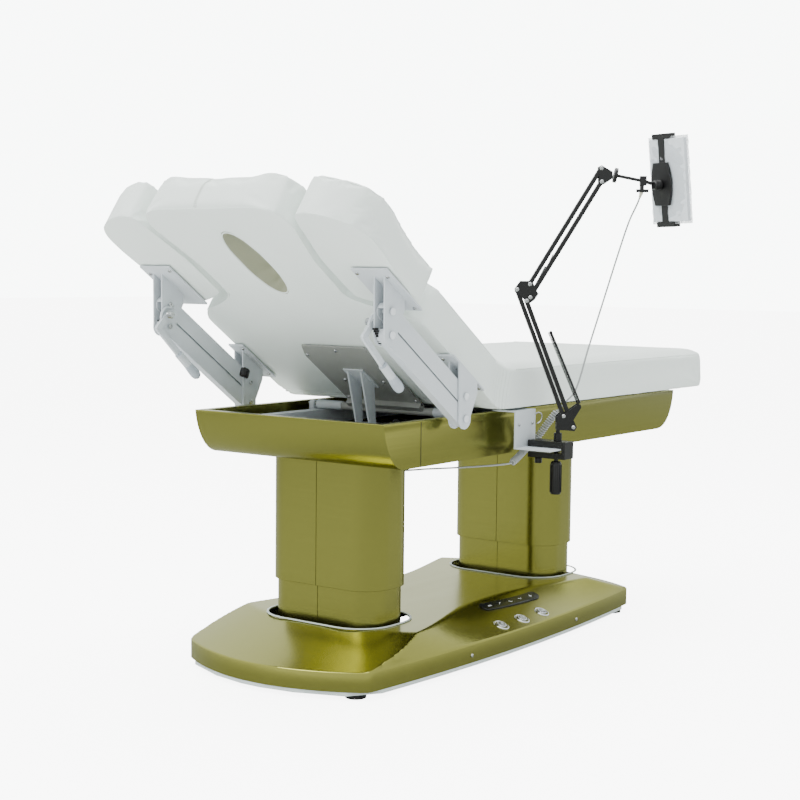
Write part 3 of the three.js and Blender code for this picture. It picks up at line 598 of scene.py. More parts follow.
def column_sleeve(node, x, inset, body):
    """Folded sleeve with a vertical seam in the middle of each end face."""
    low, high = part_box(node)
    half_x, half_y = SLEEVE["x"] - inset, SLEEVE["y"] - inset
    radius = SLEEVE["radius"] - inset
    outline = rounded_outline(half_x, half_y, radius, 20)
    seamed = []
    for a, b in zip(outline, outline[1:] + outline[:1]):
        seamed.append(a)
        if abs(a[0]) > half_x - 0.5 and a[1] * b[1] < 0:
            sign = 1 if a[0] > 0 else -1
            toward = 1 if b[1] > 0 else -1
            for offset, depth in ((-0.9, 0), (-0.6, 1.6), (0.6, 1.6), (0.9, 0)):
                seamed.append((a[0] - sign * depth, offset * toward))
    bm = bmesh.new()
    rings = []
    levels = [
        (low.z, -0.8), (low.z + 0.0008, 0), (low.z + 0.010, 0), ((low.z + high.z) / 2, 0), (high.z, 0),
    ]
    for z, grow in levels:
        ring = []
        for px, py in seamed:
            point = at(x + px * (1 + grow / 100), py * (1 + grow / 185), 0)
            point.z = z
            ring.append(bm.verts.new(point))
        rings.append(ring)
    join_rows(bm, rings, wrap=True)
    piece = finish_mesh(f"{node}_skin", bm, GOLD_UP, None, "gold", smooth_angle=25)
    thicken(piece, SLEEVE["wall"])
    apply_modifiers(piece)
    smooth(piece.data, 25)
    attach(piece, body)
    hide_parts(node)


# ---------- tray ----------
TRAY = {
    "head_top": -550, "head_low": -461, "foot_top": 1025, "foot_low": 912,
    "half": 317, "top": 686, "low": 567,
}


def bezier(p0, p1, p2, p3, steps):
    points = []
    for k in range(steps + 1):
        t = k / steps
        w = ((1 - t) ** 3, 3 * t * (1 - t) ** 2, 3 * t * t * (1 - t), t**3)
        points.append(tuple(sum(c * p[i] for c, p in zip(w, (p0, p1, p2, p3))) for i in range(2)))
    return points


def tray_skin():
    """Open tray: curved ends, flat sides, and a lip turned inward along the top."""
    t = TRAY
    head = bezier(
        (t["head_top"], t["top"]), (t["head_top"] + 6, t["low"] + 60),
        (t["head_top"] + 40, t["low"]), (t["head_low"], t["low"]), 22,
    )
    foot = bezier(
        (t["foot_low"], t["low"]), (t["foot_top"] - 40, t["low"]),
        (t["foot_top"] - 6, t["low"] + 60), (t["foot_top"], t["top"]), 22,
    )
    profile = head + foot
    bm = bmesh.new()
    sides = []
    for y in (-t["half"], t["half"]):
        sides.append([bm.verts.new(at(x, y, z)) for x, z in profile])
    join_rows(bm, sides)
    bm.faces.new(sides[0])
    bm.faces.new(sides[1])
    lip = 24
    rings = []
    for head, foot, half in (
        (t["head_top"], t["foot_top"], t["half"]),
        (t["head_top"] + lip, t["foot_top"] - lip - 20, t["half"] - lip),
    ):
        corners = ((head, -half), (foot, -half), (foot, half), (head, half))
        rings.append([bm.verts.new(at(x, y, t["top"])) for x, y in corners])
    join_rows(bm, rings, wrap=True)
    bmesh.ops.remove_doubles(bm, verts=bm.verts, dist=1e-5)
    piece = finish_mesh("tray_skin", bm, GOLD_LONG, None, "gold", smooth_angle=30)
    thicken(piece, SHEET)
    add_bevel(piece, 5, 4, 40)
    apply_modifiers(piece)
    smooth(piece.data, 50)
    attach(piece, "lift")
    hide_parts("tray_cover")


def tray_details():
    """Seam near the near head corner and dark well liner."""
    bm = bmesh.new()
    seam_x = -392
    path = [at(seam_x, -TRAY["half"] - 0.3, z) for z in (TRAY["top"] - 3, TRAY["low"] + 4)]
    add_tube(bm, path, 0.9, 6)
    finish_mesh("tray_seam", bm, BLACK, "lift", "gold")
    bm = bmesh.new()
    outline = [(-470, -288), (930, -288), (930, 288), (-470, 288)]
    add_slab(bm, outline, at, TRAY["low"] + 3.5, TRAY["low"] + 4.0)
    finish_mesh("tray_liner", bm, BLACK, "lift", "black_plastic")


# ---------- upholstery ----------
CREASE_SIDE = (math.cos(CREASE_ANGLE), math.sin(CREASE_ANGLE))


def solid_from_nodes(*nodes):
    bm = bmesh.new()
    for node in nodes:
        bm.from_mesh(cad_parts[node].data)
    return bm


def cushion_mesh(name, bm, voxel, rounds):
    """Even, rounded and slightly shrunk mesh of a cushion, ready to be inflated."""
    piece = object_from(name, bm)
    remesh = piece.modifiers.new("remesh", "REMESH")
    remesh.mode = "VOXEL"
    remesh.voxel_size = voxel * MM
    apply_modifiers(piece)
    piece.data.materials.append(LEATHER)
    set_points(piece.data, points_of(piece.data) - normals_of(piece.data) * SHRINK)
    relax(piece, rounds)
    return piece


def points_of(mesh):
    co = np.empty(len(mesh.vertices) * 3)
    mesh.vertices.foreach_get("co", co)
    return co.reshape(-1, 3)


def normals_of(mesh):
    co = np.empty(len(mesh.vertices) * 3)
    mesh.vertices.foreach_get("normal", co)
    return co.reshape(-1, 3)


def set_points(mesh, points):
    mesh.vertices.foreach_set("co", points.ravel())
    mesh.update()


def relax(piece, rounds, factor=0.5):
    modifier = piece.modifiers.new("relax", "SMOOTH")
    modifier.iterations = rounds
    modifier.factor = factor
    apply_modifiers(piece)


def inflate(piece, held, lateral, lift_axis, lift):
    """Blows the cushion up as cloth with its held points pinned, and caps how far it moves."""
    before = points_of(piece.data)
    group = piece.vertex_groups.new(name="held")
    group.add([int(i) for i in np.nonzero(held)[0]], 1.0, "REPLACE")
    cloth = piece.modifiers.new("cloth", "CLOTH")
    settings = cloth.settings
    settings.quality = 4
    settings.mass = 0.4
    settings.use_pressure = True
    settings.uniform_pressure_force = 4
    settings.vertex_group_mass = "held"
    settings.effector_weights.gravity = 0
    scene = bpy.context.scene
    cloth.point_cache.frame_start = 1
    cloth.point_cache.frame_end = 20
    for number in range(1, 21):
        scene.frame_set(number)
    apply_modifiers(piece)
    scene.frame_set(1)
    after = points_of(piece.data)
    moved = after - before
    along = np.sum(moved * lift_axis, axis=1, keepdims=True)
    upward = lift_axis * np.tanh(along / (lift * MM)) * lift * MM
    sideways = moved - lift_axis * along
    length = np.linalg.norm(sideways, axis=1, keepdims=True) + 1e-9
    sideways = sideways / length * np.tanh(length / (lateral * MM)) * lateral * MM
    set_points(piece.data, before + upward + sideways)
    piece.vertex_groups.clear()


def subdivide(piece):
    modifier = piece.modifiers.new("subdivision", "SUBSURF")
    modifier.levels = 1
    modifier.render_levels = 1
    apply_modifiers(piece)


def wrinkle(piece, places, depth, scale):
    """Shallow folds where places(point) is above 0: a soft noise pushed in along the normals."""
    mesh = piece.data
    points, normals = points_of(mesh), normals_of(mesh)
    for i, point in enumerate(points):
        share = places(point)
        if share > 0.01:
            fold = noise.noise(Vector(point) * scale)
            points[i] = point + normals[i] * depth * MM * share * fold
    set_points(mesh, points)


def seam_loops(piece, centre, normal):
    """Loops in which a plane cuts the piece, as ordered points."""
    bm = bmesh.new()
    bm.from_mesh(piece.data)
    cut = bmesh.ops.bisect_plane(
        bm, geom=bm.verts[:] + bm.edges[:] + bm.faces[:], plane_co=centre, plane_no=normal,
    )["geom_cut"]
    edges = [e for e in cut if isinstance(e, bmesh.types.BMEdge)]
    joined = {}
    for e in edges:
        a, b = e.verts
        joined.setdefault(a, []).append(b)
        joined.setdefault(b, []).append(a)
    loops = []
    seen = set()
    for start in joined:
        if start in seen:
            continue
        loop = [start]
        seen.add(start)
        while True:
            ahead = [v for v in joined[loop[-1]] if v not in seen]
            if not ahead:
                break
            loop.append(ahead[0])
            seen.add(ahead[0])
        if len(loop) > 20:
            loops.append([v.co.copy() for v in loop])
    bm.free()
    return loops


def even_loop(loop, spacing, closed=True, rounds=6):
    """The loop resampled at an even spacing, and smoothed."""
    points = loop + loop[:1] if closed else loop
    result = [points[0]]
    carried = 0.0
    for a, b in zip(points, points[1:]):
        span = (b - a).length
        while carried + span >= spacing:
            step = spacing - carried
            a = a + (b - a) * (step / max(span, 1e-9))
            span -= step
            carried = 0.0
            result.append(a.copy())
        carried += span
    if closed and (result[-1] - result[0]).length < spacing * 0.5:
        result.pop()
    for _ in range(rounds):
        if closed:
            ahead = result[1:] + result[:1]
            result = [(result[i - 1] + p * 2 + ahead[i]) / 4 for i, p in enumerate(result)]
        else:
            inner = [(result[i - 1] + result[i] * 2 + result[i + 1]) / 4 for i in range(1, len(result) - 1)]
            result = [result[0], *inner, result[-1]]
    return result


def add_piping(name, piece, planes, keep, body):
    """Piping along the lines where planes cut the piece, where keep(point) holds."""
    bm = bmesh.new()
    for centre, normal in planes:
        for loop in seam_loops(piece, centre, normal):
            flags = [keep(p) for p in loop]
            if all(flags):
                add_tube(bm, even_loop(loop, 0.009), PIPING, 8, closed=True)
                continue
            if not any(flags):
                continue
            start = next(i for i in range(len(loop)) if flags[i] and not flags[i - 1])
            turned = loop[start:] + loop[:start]
            run = []
            for p in turned + [None]:
                if p is not None and keep(p):
                    run.append(p)
                elif run:
                    if len(run) > 12:
                        add_tube(bm, even_loop(run, 0.009, closed=False), PIPING, 8)
                    run = []
    return finish_mesh(name, bm, LEATHER, body, "leather", smooth_angle=80)


BACK = {"under": 14, "top": 132}
SEAT = {"under": 692, "top": 810}
SHRINK = 3.5 * MM
HELD_BELOW = 8
PIPING = 1.8


def past_crease(point):
    """Distance of a point from the crease, in mm: above 0 on the seat's side."""
    d = Vector(point) - at(HINGE[0], 0, HINGE[1])
    return (d.x * CREASE_SIDE[0] - d.z * CREASE_SIDE[1]) / MM


def arrays_past_crease(points):
    d = points - np.array(at(HINGE[0], 0, HINGE[1]))
    return (d[:, 0] * CREASE_SIDE[0] - d[:, 2] * CREASE_SIDE[1]) / MM


def heights_on_back(points):
    """Heights of points above the underside of the backrest's cushion, in mm."""
    return (points - np.array(on_back(0, 0, 0))) @ np.array(BACK_UP) / MM - BACK["under"]


def mattress():
    bm = solid_from_nodes("seat_mattress", "back_mattress")
    half = 371
    wedge = [(HINGE[0] + 24, SEAT["under"] + 1), (HINGE[0] + 92, SEAT["top"] - 3)]
    for x, z in ((-92, BACK["top"] - 3), (-24, BACK["under"] + 1)):
        p = on_back(x, 0, z) - ORIGIN
        wedge.append((p.x / MM, p.z / MM))
    add_slab(bm, wedge, lambda a, b, h: at(a, h, b), -half, half)
    bmesh.ops.recalc_face_normals(bm, faces=bm.faces)
    piece = cushion_mesh("mattress_upholstery", bm, 8, 5)
    points = points_of(piece.data)
    on_seat = arrays_past_crease(points) > 0
    heights = np.where(on_seat, points[:, 2] / MM - SEAT["under"], heights_on_back(points))
    held = heights < HELD_BELOW
    axis = np.where(on_seat[:, None], np.array([[0.0, 0.0, 1.0]]), np.array([BACK_UP]))
    inflate(piece, held, 7, axis, 15)
    subdivide(piece)
    crease_folds(piece)
    wrinkle(piece, side_share, 2.2, 26)
    paint_face_hole_shade(piece)
    smooth(piece.data, 180)
    head_seam(piece)
    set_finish(piece, "leather")
    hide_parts("seat_mattress", "back_mattress")

    def seat_side(p):
        return past_crease(p) > 45

    def back_side(p):
        return past_crease(p) < -45

    for part, place, up, top, low, keep, body in (
        ("seat", at, Vector((0, 0, 1)), SEAT["top"] - 9, SEAT["under"] + 7, seat_side, "lift"),
        ("back", on_back, BACK_UP, BACK["top"] - 9, BACK["under"] + 6, back_side, "backrest"),
    ):
        add_piping(f"{part}_piping_top", piece, [(place(0, 0, top), up)], keep, body)
        add_piping(f"{part}_piping_low", piece, [(place(0, 0, low), up)], keep, body)
    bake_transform(piece)


FACE_HOLE = {"x": -684, "half_length": 135, "half_width": 42}


def paint_face_hole_shade(piece):
    """The wall of the face hole is given a darker leather colour: painted shade of the recess."""
    piece.data.materials.append(HOLE_SHADE_LEATHER)
    middle_point = on_back(FACE_HOLE["x"], 0, (BACK["under"] + BACK["top"]) / 2)
    for face in piece.data.polygons:
        offset = face.center - middle_point
        along, up = offset.dot(BACK_ALONG) / MM, offset.dot(BACK_UP) / MM
        ratio = (along / FACE_HOLE["half_length"]) ** 2 + (offset.y / MM / FACE_HOLE["half_width"]) ** 2
        if ratio < 1.25 and abs(up) < 52:
            face.material_index = 1


def head_end_point(tree, y, height):
    """Point where the head end of the mattress lies at a place across it, or None."""
    return tree.ray_cast(on_back(-1000, y, height), BACK_ALONG, 0.2)[0]


def head_seam(piece):
    """Double-stitched seam across the head end of the mattress, with a dark line between the stitch rows as
    painted shade of the seam.
    """
    tree = BVHTree.FromObject(piece, bpy.context.evaluated_depsgraph_get())
    bm = bmesh.new()
    for y in (20, 28):
        for k in range(19):
            ends = []
            for step in (0.1, 0.75):
                ends.append(head_end_point(tree, y, BACK["under"] + 8 + 5.6 * (k + step)))
            if None not in ends:
                add_tube(bm, ends, 0.55, 6)
    # Dark line between the stitch rows: painted shade in the seam's groove.
    line = [head_end_point(tree, 24, BACK["under"] + 6 + 5 * k) for k in range(23)]
    line = [point for point in line if point is not None]
    if len(line) > 1:
        add_tube(bm, line, 0.7, 6)
    finish_mesh("head_seam_stitches_and_shade", bm, THREAD_AND_SEAM_SHADE, "backrest", "leather")


def side_share(point):
    """Where the side of the seat is slightly wrinkled: beside the middle of the seat."""
    x = (point[0] - ORIGIN.x) / MM
    y = abs(point[1] - ORIGIN.y) / MM
    if y < 345:
        return 0.25
    return 0.35 + 0.65 * math.exp(-(((x - 640) / 120) ** 2))


def crease_folds(piece):
    """Deep folds on both sides of the crease, running across the mattress's edge."""
    mesh = piece.data
    points, normals = points_of(mesh), normals_of(mesh)
    away = arrays_past_crease(points)
    spacing = 15
    fade = np.exp(-((away / 34) ** 2))
    fold = 0.5 + 0.5 * np.cos(2 * math.pi * (away + 4 * np.sin(points[:, 1] * 9)) / spacing)
    depth = fade * (2.0 + 5.5 * fold)
    set_points(mesh, points - normals * depth[:, None] * MM)


def arm_pad(side):
    node = f"arm_pad_{side}"
    piece = cushion_mesh(f"{node}_upholstery", solid_from_nodes(node), 5, 7)
    held = heights_on_back(points_of(piece.data)) < HELD_BELOW
    inflate(piece, held, 6, np.array([BACK_UP]), 16)
    subdivide(piece)
    wrinkle(piece, lambda p: 0.5, 1.6, 24)
    smooth(piece.data, 180)
    body = f"armrest_{side}"
    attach(piece, body)
    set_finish(piece, "leather")
    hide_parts(node)
    planes = [(on_back(0, 0, height), BACK_UP) for height in (BACK["top"] - 8, BACK["under"] + 6)]
    add_piping(f"{node}_piping", piece, planes, lambda p: True, body)


# ---------- armrest hardware ----------
LINK = {"pad": [(-612.5, 967), (-613, 910)], "back": [(-293, 745), (-293.5, 688)]}
LINK |= {"inner": 350, "outer": 384}
CAP = [(0, 0), (9.5, 0), (9.6, 1.2), (8.8, 3.4), (6.2, 5.0), (2.5, 5.8), (0, 5.9)]
BOLT = [(0, 0), (6.8, 0), (6.8, 2.4), (5.8, 3.2), (3.4, 3.2), (3.2, 1.6), (0, 1.6)]


def flange_point(x, y, lift):
    """Point under the upholstery, at a place along the bed and a distance below it."""
    c, s = math.cos(BACK_ANGLE), math.sin(BACK_ANGLE)
    z = HINGE[1] + (BACK["under"] - lift) / c - (x - HINGE[0]) * s / c
    return at(x, y, z)


def armrest_hardware(side, sign):
    out = Vector((0, sign, 0))
    bodies = {"pad": f"armrest_{side}", "back": "backrest"}
    for place, body in bodies.items():
        outer = [at(x, sign * (LINK["outer"] + 3.2), z) for x, z in LINK[place]]
        inner = [at(x, sign * (LINK["inner"] - 3.2), z) for x, z in LINK[place]]
        turned_piece(f"{place}_pin_caps_{side}", CAP, outer, out, 28, WHITE_CAP, body, "grey_bracket")
        turned_piece(f"{place}_pin_bolts_{side}", BOLT, inner, -out, 24, STEEL, body, "steel")
    screws = {
        "pad": [(-652, 310), (-640, 392), (-530, 392)],
        "back": [(-333, 341), (-222, 341), (-216, 374)],
    }
    head = scaled_profile(SCREW_HEAD, 1.15)
    for place, body in bodies.items():
        centres = [flange_point(x, sign * y, 4.8) for x, y in screws[place]]
        turned_piece(f"{place}_flange_screws_{side}", head, centres, -BACK_UP, 16, STEEL, body, "steel")
    bm = bmesh.new()
    for k in range(7):
        t = k / 6
        x, z = -640 + 22 * t, 925 - 34 * t
        outline = [(-6, -2.6), (6, -2.6), (7.5, 0), (6, 2.6), (-6, 2.6)]
        add_slab(bm, outline, lambda a, b, h, x=x, z=z: at(x + a, sign * h, z + b), 352.5, 362)
    finish_mesh(f"lock_rack_{side}", bm, BLACK, f"lower_link_{side}", "black_plastic", bevel=0.4)
    bm = bmesh.new()
    path = [
        at(-602, sign * 346.5, 958), at(-628, sign * 346, 960), at(-643, sign * 345, 950),
        at(-650, sign * 344, 934), at(-644, sign * 343, 926),
    ]
    add_tube(bm, smooth_path(path, 4), 3.4, 10)
    finish_mesh(f"lock_hook_{side}", bm, GREY, f"armrest_{side}", "grey_bracket")
    knurl = [(0, -8), (8, -8), (9, -7)]
    for k in range(6):
        knurl += [(9.4, -6 + 2 * k), (8.4, -5 + 2 * k)]
    knurl += [(9, 7), (8, 8), (0, 8)]
    turned_piece(
        f"lever_roller_{side}", knurl, at(-628, sign * 330, 941), out, 22, STEEL, f"lever_{side}", "steel",
    )
    stop = [(0, 0), (14, 0), (16, 3), (16, 22), (12, 26), (0, 26)]
    place = at(-318, sign * 355, 760)
    turned_piece(f"link_stop_{side}", stop, place, (0.4, 0, 1), 18, BLACK, "backrest", "black_plastic")


def lever_grip(side, sign):
    """Moulded drop-shaped grip of the lever."""
    start, end = at(-590, sign * 341, 838), at(-514, sign * 341, 771)
    span = (end - start).length / MM
    profile = [(0, 0), (9.5, 0), (10, 2), (9.6, span * 0.25), (11.4, span * 0.5), (13.4, span * 0.75)]
    profile += [(13.6, span * 0.86), (11.5, span * 0.96), (6, span * 1.02), (0, span * 1.035)]
    turned_piece(
        f"lever_grip_{side}", profile, start, end - start, 26, GRIP, f"lever_{side}", "grey_bracket",
        smooth_angle=60,
    )


def back_plate_details():
    bm = bmesh.new()
    for x, y in ((-264, 115), (-138, 66), (-40, 116), (-292, 0)):
        for sign in (1, -1) if y else (1,):
            add_screw(bm, on_back(x, sign * y, BACK["under"] - 4.4), -BACK_UP, 1.25)
    finish_mesh("back_plate_screws", bm, STEEL, "backrest", "steel")
    collar = [(12, -45), (13.2, -44), (13.2, 44), (12, 45)]
    centres = [on_back(0, y, 0) for y in (-205, 205)]
    turned_piece("hinge_collars", collar, centres, (0, 1, 0), 28, GREY, "backrest", "grey_bracket")


# ---------- base controls ----------
BUTTONS = {"button_up": 17, "button_power": 124, "button_down": 234}
BUTTON_EDGE = 34
FACET_UP = Vector((0, -60, 150)).normalized()
FACET_IN = Vector((0, 150, 60)).normalized()


def on_facet(x, y, centre):
    return centre + Vector((x, 0, 0)) * MM + FACET_IN * y * MM


def add_symbol_line(bm, points, centre, width, lift):
    path = [on_facet(x, y, centre) + FACET_UP * lift * MM for x, y in points]
    add_tube(bm, path, width, 6)


def buttons():
    for node, x in BUTTONS.items():
        centre = facet_point(x, BUTTON_EDGE)
        bezel = [(17.2, -6), (17.2, 0.8), (18.0, 2.2), (20.5, 2.6), (22.6, 1.6), (23.0, 0.0), (23.0, -1)]
        turned_piece(
            f"{node}_bezel", bezel, centre, FACET_UP, 40, CHROME, "base", "button_metal", smooth_angle=60,
        )
        bm = bmesh.new()
        add_turned(bm, [(11.6, 5.0), (12.4, 5.6), (13.2, 5.0)], centre, FACET_UP, 32)
        if node == "button_power":
            arc = [math.radians(130 + 280 * k / 16) for k in range(17)]
            add_symbol_line(bm, [(6 * math.cos(a), 6 * math.sin(a)) for a in arc], centre, 0.8, 5.6)
            add_symbol_line(bm, [(0, 2), (0, 8)], centre, 0.8, 5.6)
        else:
            sign = 1 if node == "button_up" else -1
            add_symbol_line(bm, [(-5.5, -1.5 * sign), (0, 5 * sign), (5.5, -1.5 * sign)], centre, 0.9, 5.6)
            add_symbol_line(bm, [(0, 4 * sign), (0, -6 * sign)], centre, 0.9, 5.6)
        finish_mesh(f"{node}_symbol", bm, SYMBOL, node, "button_metal")


def touch_symbols():
    """Five generic line symbols on the glass strip."""
    strip = {"x": 173, "half": 136, "edge": 104, "slope": -0.075}
    bm = bmesh.new()
    shapes = [
        [[(-6, 0), (6, 0)], [(-9, -3), (9, -3)]],
        [[(-6, -3), (0, 3), (6, 3)]],
        [[(-7, 3), (-1, -3), (7, -3)]],
        [[(-7, 4), (0, -3), (7, 4)]],
        [[(-6, 0), (6, 0)], [(0, -6), (0, 6)]],
    ]
    for k, lines in enumerate(shapes):
        offset = -100 + 50 * k
        centre = facet_point(strip["x"] + offset, strip["edge"] + strip["slope"] * offset, 4.6)
        for line in lines:
            add_symbol_line(bm, line, centre, 0.9, 0.2)
    finish_mesh("touch_symbols", bm, SYMBOL, "base", "touch_glass")


def base_screws():
    bm = bmesh.new()
    for x in (-172, 385):
        for sign in (-1, 1):
            half = base_half_width(x - BASE_MIDDLE_X)
            add_screw(bm, at(x, sign * half, 42), Vector((0, sign, 0)), 1.2)
    finish_mesh("base_screws", bm, STEEL, "base", "steel")


# ---------- tablet arm details ----------
PIN_HEAD = [(0, -1), (5.2, -1), (5.2, 1.4), (4.2, 2.4), (2.6, 2.6), (2.4, 1.2), (0, 1.2)]
PINS = {
    "swivel": [(13, 678), (39.5, 648)],
    "elbow": [(-117.5, 1017), (-91, 987), (-83.5, 1031.5), (-82, 996)],
    "wrist": [(101, 1340.5), (102.5, 1305)],
}


def add_spring(bm, start, end, radius, wire, pitch):
    """Close-wound spring between two points."""
    u, v, d = axes_for(end - start)
    span = (end - start).length
    count = int(span / (pitch * MM) * 12)
    points = []
    for k in range(count + 1):
        a = 2 * math.pi * k / 12
        points.append(start + d * span * k / count + (u * math.cos(a) + v * math.sin(a)) * radius * MM)
    add_tube(bm, points, wire, 6)


def arm_details():
    for body, pins in PINS.items():
        bm = bmesh.new()
        for h, z in pins:
            for sign in (-1, 1):
                add_turned(bm, PIN_HEAD, on_arm(h, sign * 18.2, z), ARM_ACROSS * sign, 20)
        finish_mesh(f"{body}_pin_heads", bm, STEEL, body, "steel")
    bm = bmesh.new()
    add_spring(bm, on_arm(54, -9, 712), on_arm(-28, -9, 905), 5.2, 1.1, 2.5)
    finish_mesh("lower_spring", bm, BLACK_STEEL, "lower_bar_inner", "black_steel")
    bm = bmesh.new()
    add_spring(bm, on_arm(-72, 0, 1012), on_arm(-38, 0, 1078), 5.5, 1.1, 2.6)
    add_tube(bm, [on_arm(-38, 0, 1078), on_arm(-22, 0, 1112)], 1.2, 6)
    finish_mesh("upper_spring", bm, STEEL, "upper_bar_inner", "steel")
    knob = [(0, 0), (9, 0), (10, 2), (10, 13), (8, 16), (0, 16)]
    turned_piece("clamp_stub_knob", knob, at(45, -400, 545), (0, 0, 1), 26, BLACK, "lift", "black_plastic")
    bm = bmesh.new()
    for k in range(14):
        a = 2 * math.pi * k / 14
        offset = Vector((math.cos(a), math.sin(a), 0)) * 15 * MM
        add_tube(bm, [at(45, -456, 470) + offset, at(45, -456, 545) + offset], 1.3, 6)
    finish_mesh("screw_ribs", bm, BLACK, "clamp_screw", "black_plastic")


def bracket_details():
    """Wire hook and screws on the accessory bracket."""
    bm = bmesh.new()
    hook = [
        at(60, -378, 676), at(64, -384, 680), at(74, -388, 678), at(80, -388, 668), at(76, -386, 656),
        at(66, -382, 650),
    ]
    add_tube(bm, smooth_path(hook, 5), 1.8, 8)
    finish_mesh("bracket_hook", bm, STEEL, "lift", "steel")
    centres = [at(x, -377, 652) for x in (-20, 48)]
    turned_piece("bracket_screws", SCREW_HEAD, centres, (0, -1, 0), 16, STEEL, "lift", "steel")


def tablet_bag():
    """Clear wrinkled bag pulled over the tablet."""
    low, high = (-90, -106), (53, 126)
    from_x, to_x = 24.5, 45
    count_y, count_z = 26, 40
    bm = bmesh.new()
    faces = []
    for x, sign in ((from_x, -1), (to_x, 1)):
        grid = []
        for i in range(count_y + 1):
            row = []
            for k in range(count_z + 1):
                u, v = i / count_y, k / count_z
                y = low[0] + (high[0] - low[0]) * u
                z = low[1] + (high[1] - low[1]) * v
                edge = min(u, 1 - u) * min(v, 1 - v) * 16
                puff = 3.0 * min(edge, 1)
                ripple = 2.2 * noise.noise(Vector((y, z * 1.4, x)) * 0.055)
                row.append(bm.verts.new(on_holder(x + sign * (puff - 4) + ripple, y, z)))
            grid.append(row)
        faces.append(grid)
    for grid in faces:
        join_rows(bm, grid)
    a, b = faces
    rim = [(i, 0) for i in range(count_y)] + [(count_y, k) for k in range(count_z)]
    rim += [(i, count_z) for i in range(count_y, 0, -1)] + [(0, k) for k in range(count_z, 0, -1)]
    for (i, k), (m, n) in zip(rim, rim[1:] + rim[:1]):
        bm.faces.new((a[i][k], a[m][n], b[m][n], b[i][k]))
    finish_mesh("tablet_bag", bm, FILM, "holder", "tablet", smooth_angle=60)


def holder_shell():
    """Barrel-sided plate behind the tablet with its ribbed ball nut and neck."""
    bm = bmesh.new()
    outline = []
    for k in range(13):
        t = k / 12
        outline.append((-27 - 11 * math.sin(math.pi * t), -56 + 114 * t))
    outline += [(-y, z) for y, z in reversed(outline)]
    add_slab(bm, outline, lambda a, b, h: on_holder(h, a, b), 16, 24)
    ribs = [(0, -9), (9, -9), (12, -6), (13, 0)]
    for k in range(4):
        ribs += [(13.4, 1 + 2.5 * k), (12.2, 2.2 + 2.5 * k)]
    ribs += [(13, 12), (8, 14), (7, 18), (0, 18)]
    add_turned(bm, ribs, on_holder(0, 0, 0), HOLDER_TURN @ Vector((1, 0, 0)), 26)
    shell = finish_mesh("holder_shell", bm, BLACK, "holder", "black_plastic", bevel=1.6, segments=3)
    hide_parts("holder_plate")


# ---------- cord ----------
CORD_DIAMETER = 0.005
HELIX_RADIUS = 8.0
HELIX_PITCH = 6.6
HELIX_STEPS = 14
TRAY_RUN = [
    (-196, -60, 559.7), (-196, -61, 546), (-194, -70, 530), (-184, -97, 521), (-163, -123, 521.5),
    (-136.6, -150, 524), (-88.8, -200, 526.5), (-40.5, -250, 530), (-17, -298, 535.5), (-6, -322, 539),
    (-1.8, -339.1, 542.4),
]
COIL_RUN = [
    (-0.4, -340.5, 543.4), (12, -342, 548), (28, -343.5, 556), (61.5, -346, 574.6), (81, -352, 589.5),
    (96, -364, 607.6), (107, -391, 648.6), (120, -414.5, 683.7),
]
ARM_RUN = [
    (120.3, -415.1, 684.1), (126, -432, 706), (135, -460, 740), (145, -491, 854), (158, -530, 993),
    (169, -563, 1111), (178.5, -590.5, 1203), (186, -611, 1252), (188.5, -618, 1274),
]


def helix_around(points):
    """Curly stretch of the cord, wound round a smooth line, with its ends on the line."""
    line = smooth_path(points, 12)
    lengths = [0.0]
    for a, b in zip(line, line[1:]):
        lengths.append(lengths[-1] + (b - a).length)
    total = lengths[-1]
    steps = int(total / (HELIX_PITCH * MM)) * HELIX_STEPS
    u = axes_for(line[1] - line[0])[0]
    winding = []
    for k in range(steps + 1):
        s = total * k / steps
        i = min(max(np.searchsorted(lengths, s) - 1, 0), len(line) - 2)
        share = (s - lengths[i]) / max(lengths[i + 1] - lengths[i], 1e-9)
        centre = line[i] + (line[i + 1] - line[i]) * share
        d = (line[i + 1] - line[i]).normalized()
        u = (u - d * u.dot(d)).normalized()
        v = d.cross(u)
        a = 2 * math.pi * k / HELIX_STEPS
        settle = min(k, steps - k) / HELIX_STEPS
        radius = HELIX_RADIUS * min(settle, 1) * MM
        winding.append(centre + (u * math.cos(a) + v * math.sin(a)) * radius)
    return winding


def cord():
    path = smooth_path([at(*p) for p in TRAY_RUN], 3)
    path += helix_around([at(*p) for p in COIL_RUN])
    path += smooth_path([at(*p) for p in ARM_RUN], 4)
    bm = bmesh.new()
    add_tube(bm, path, CORD_DIAMETER * 500, 10)
    piece = finish_mesh("cord_line", bm, CORD_GREY, None, "cord", smooth_angle=80)
    relief = [(2.6, -22), (3.4, -21), (3.6, -8), (5.5, -6), (6.5, 0), (9.2, 1), (9.2, 5), (5, 6)]
    gland = turned_piece(
        "cord_strain_relief", relief, at(-196, -60, 560), (0, 0, 1), 24, BLACK, "lift", "black_plastic",
    )
    tip = path[-1]
    ahead = (tip - path[-4]).normalized()
    plug_profile = [(2.7, -9), (3.6, -8), (4.2, 0), (5.2, 1), (5.2, 15), (4.2, 17), (0, 17)]
    plug = turned_piece("cord_connector", plug_profile, tip, ahead, 20, CONNECTOR, "swivel", "cord")
    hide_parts("cord_tray_run", "cord_coil", "cord_arm_run")
    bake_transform(piece)


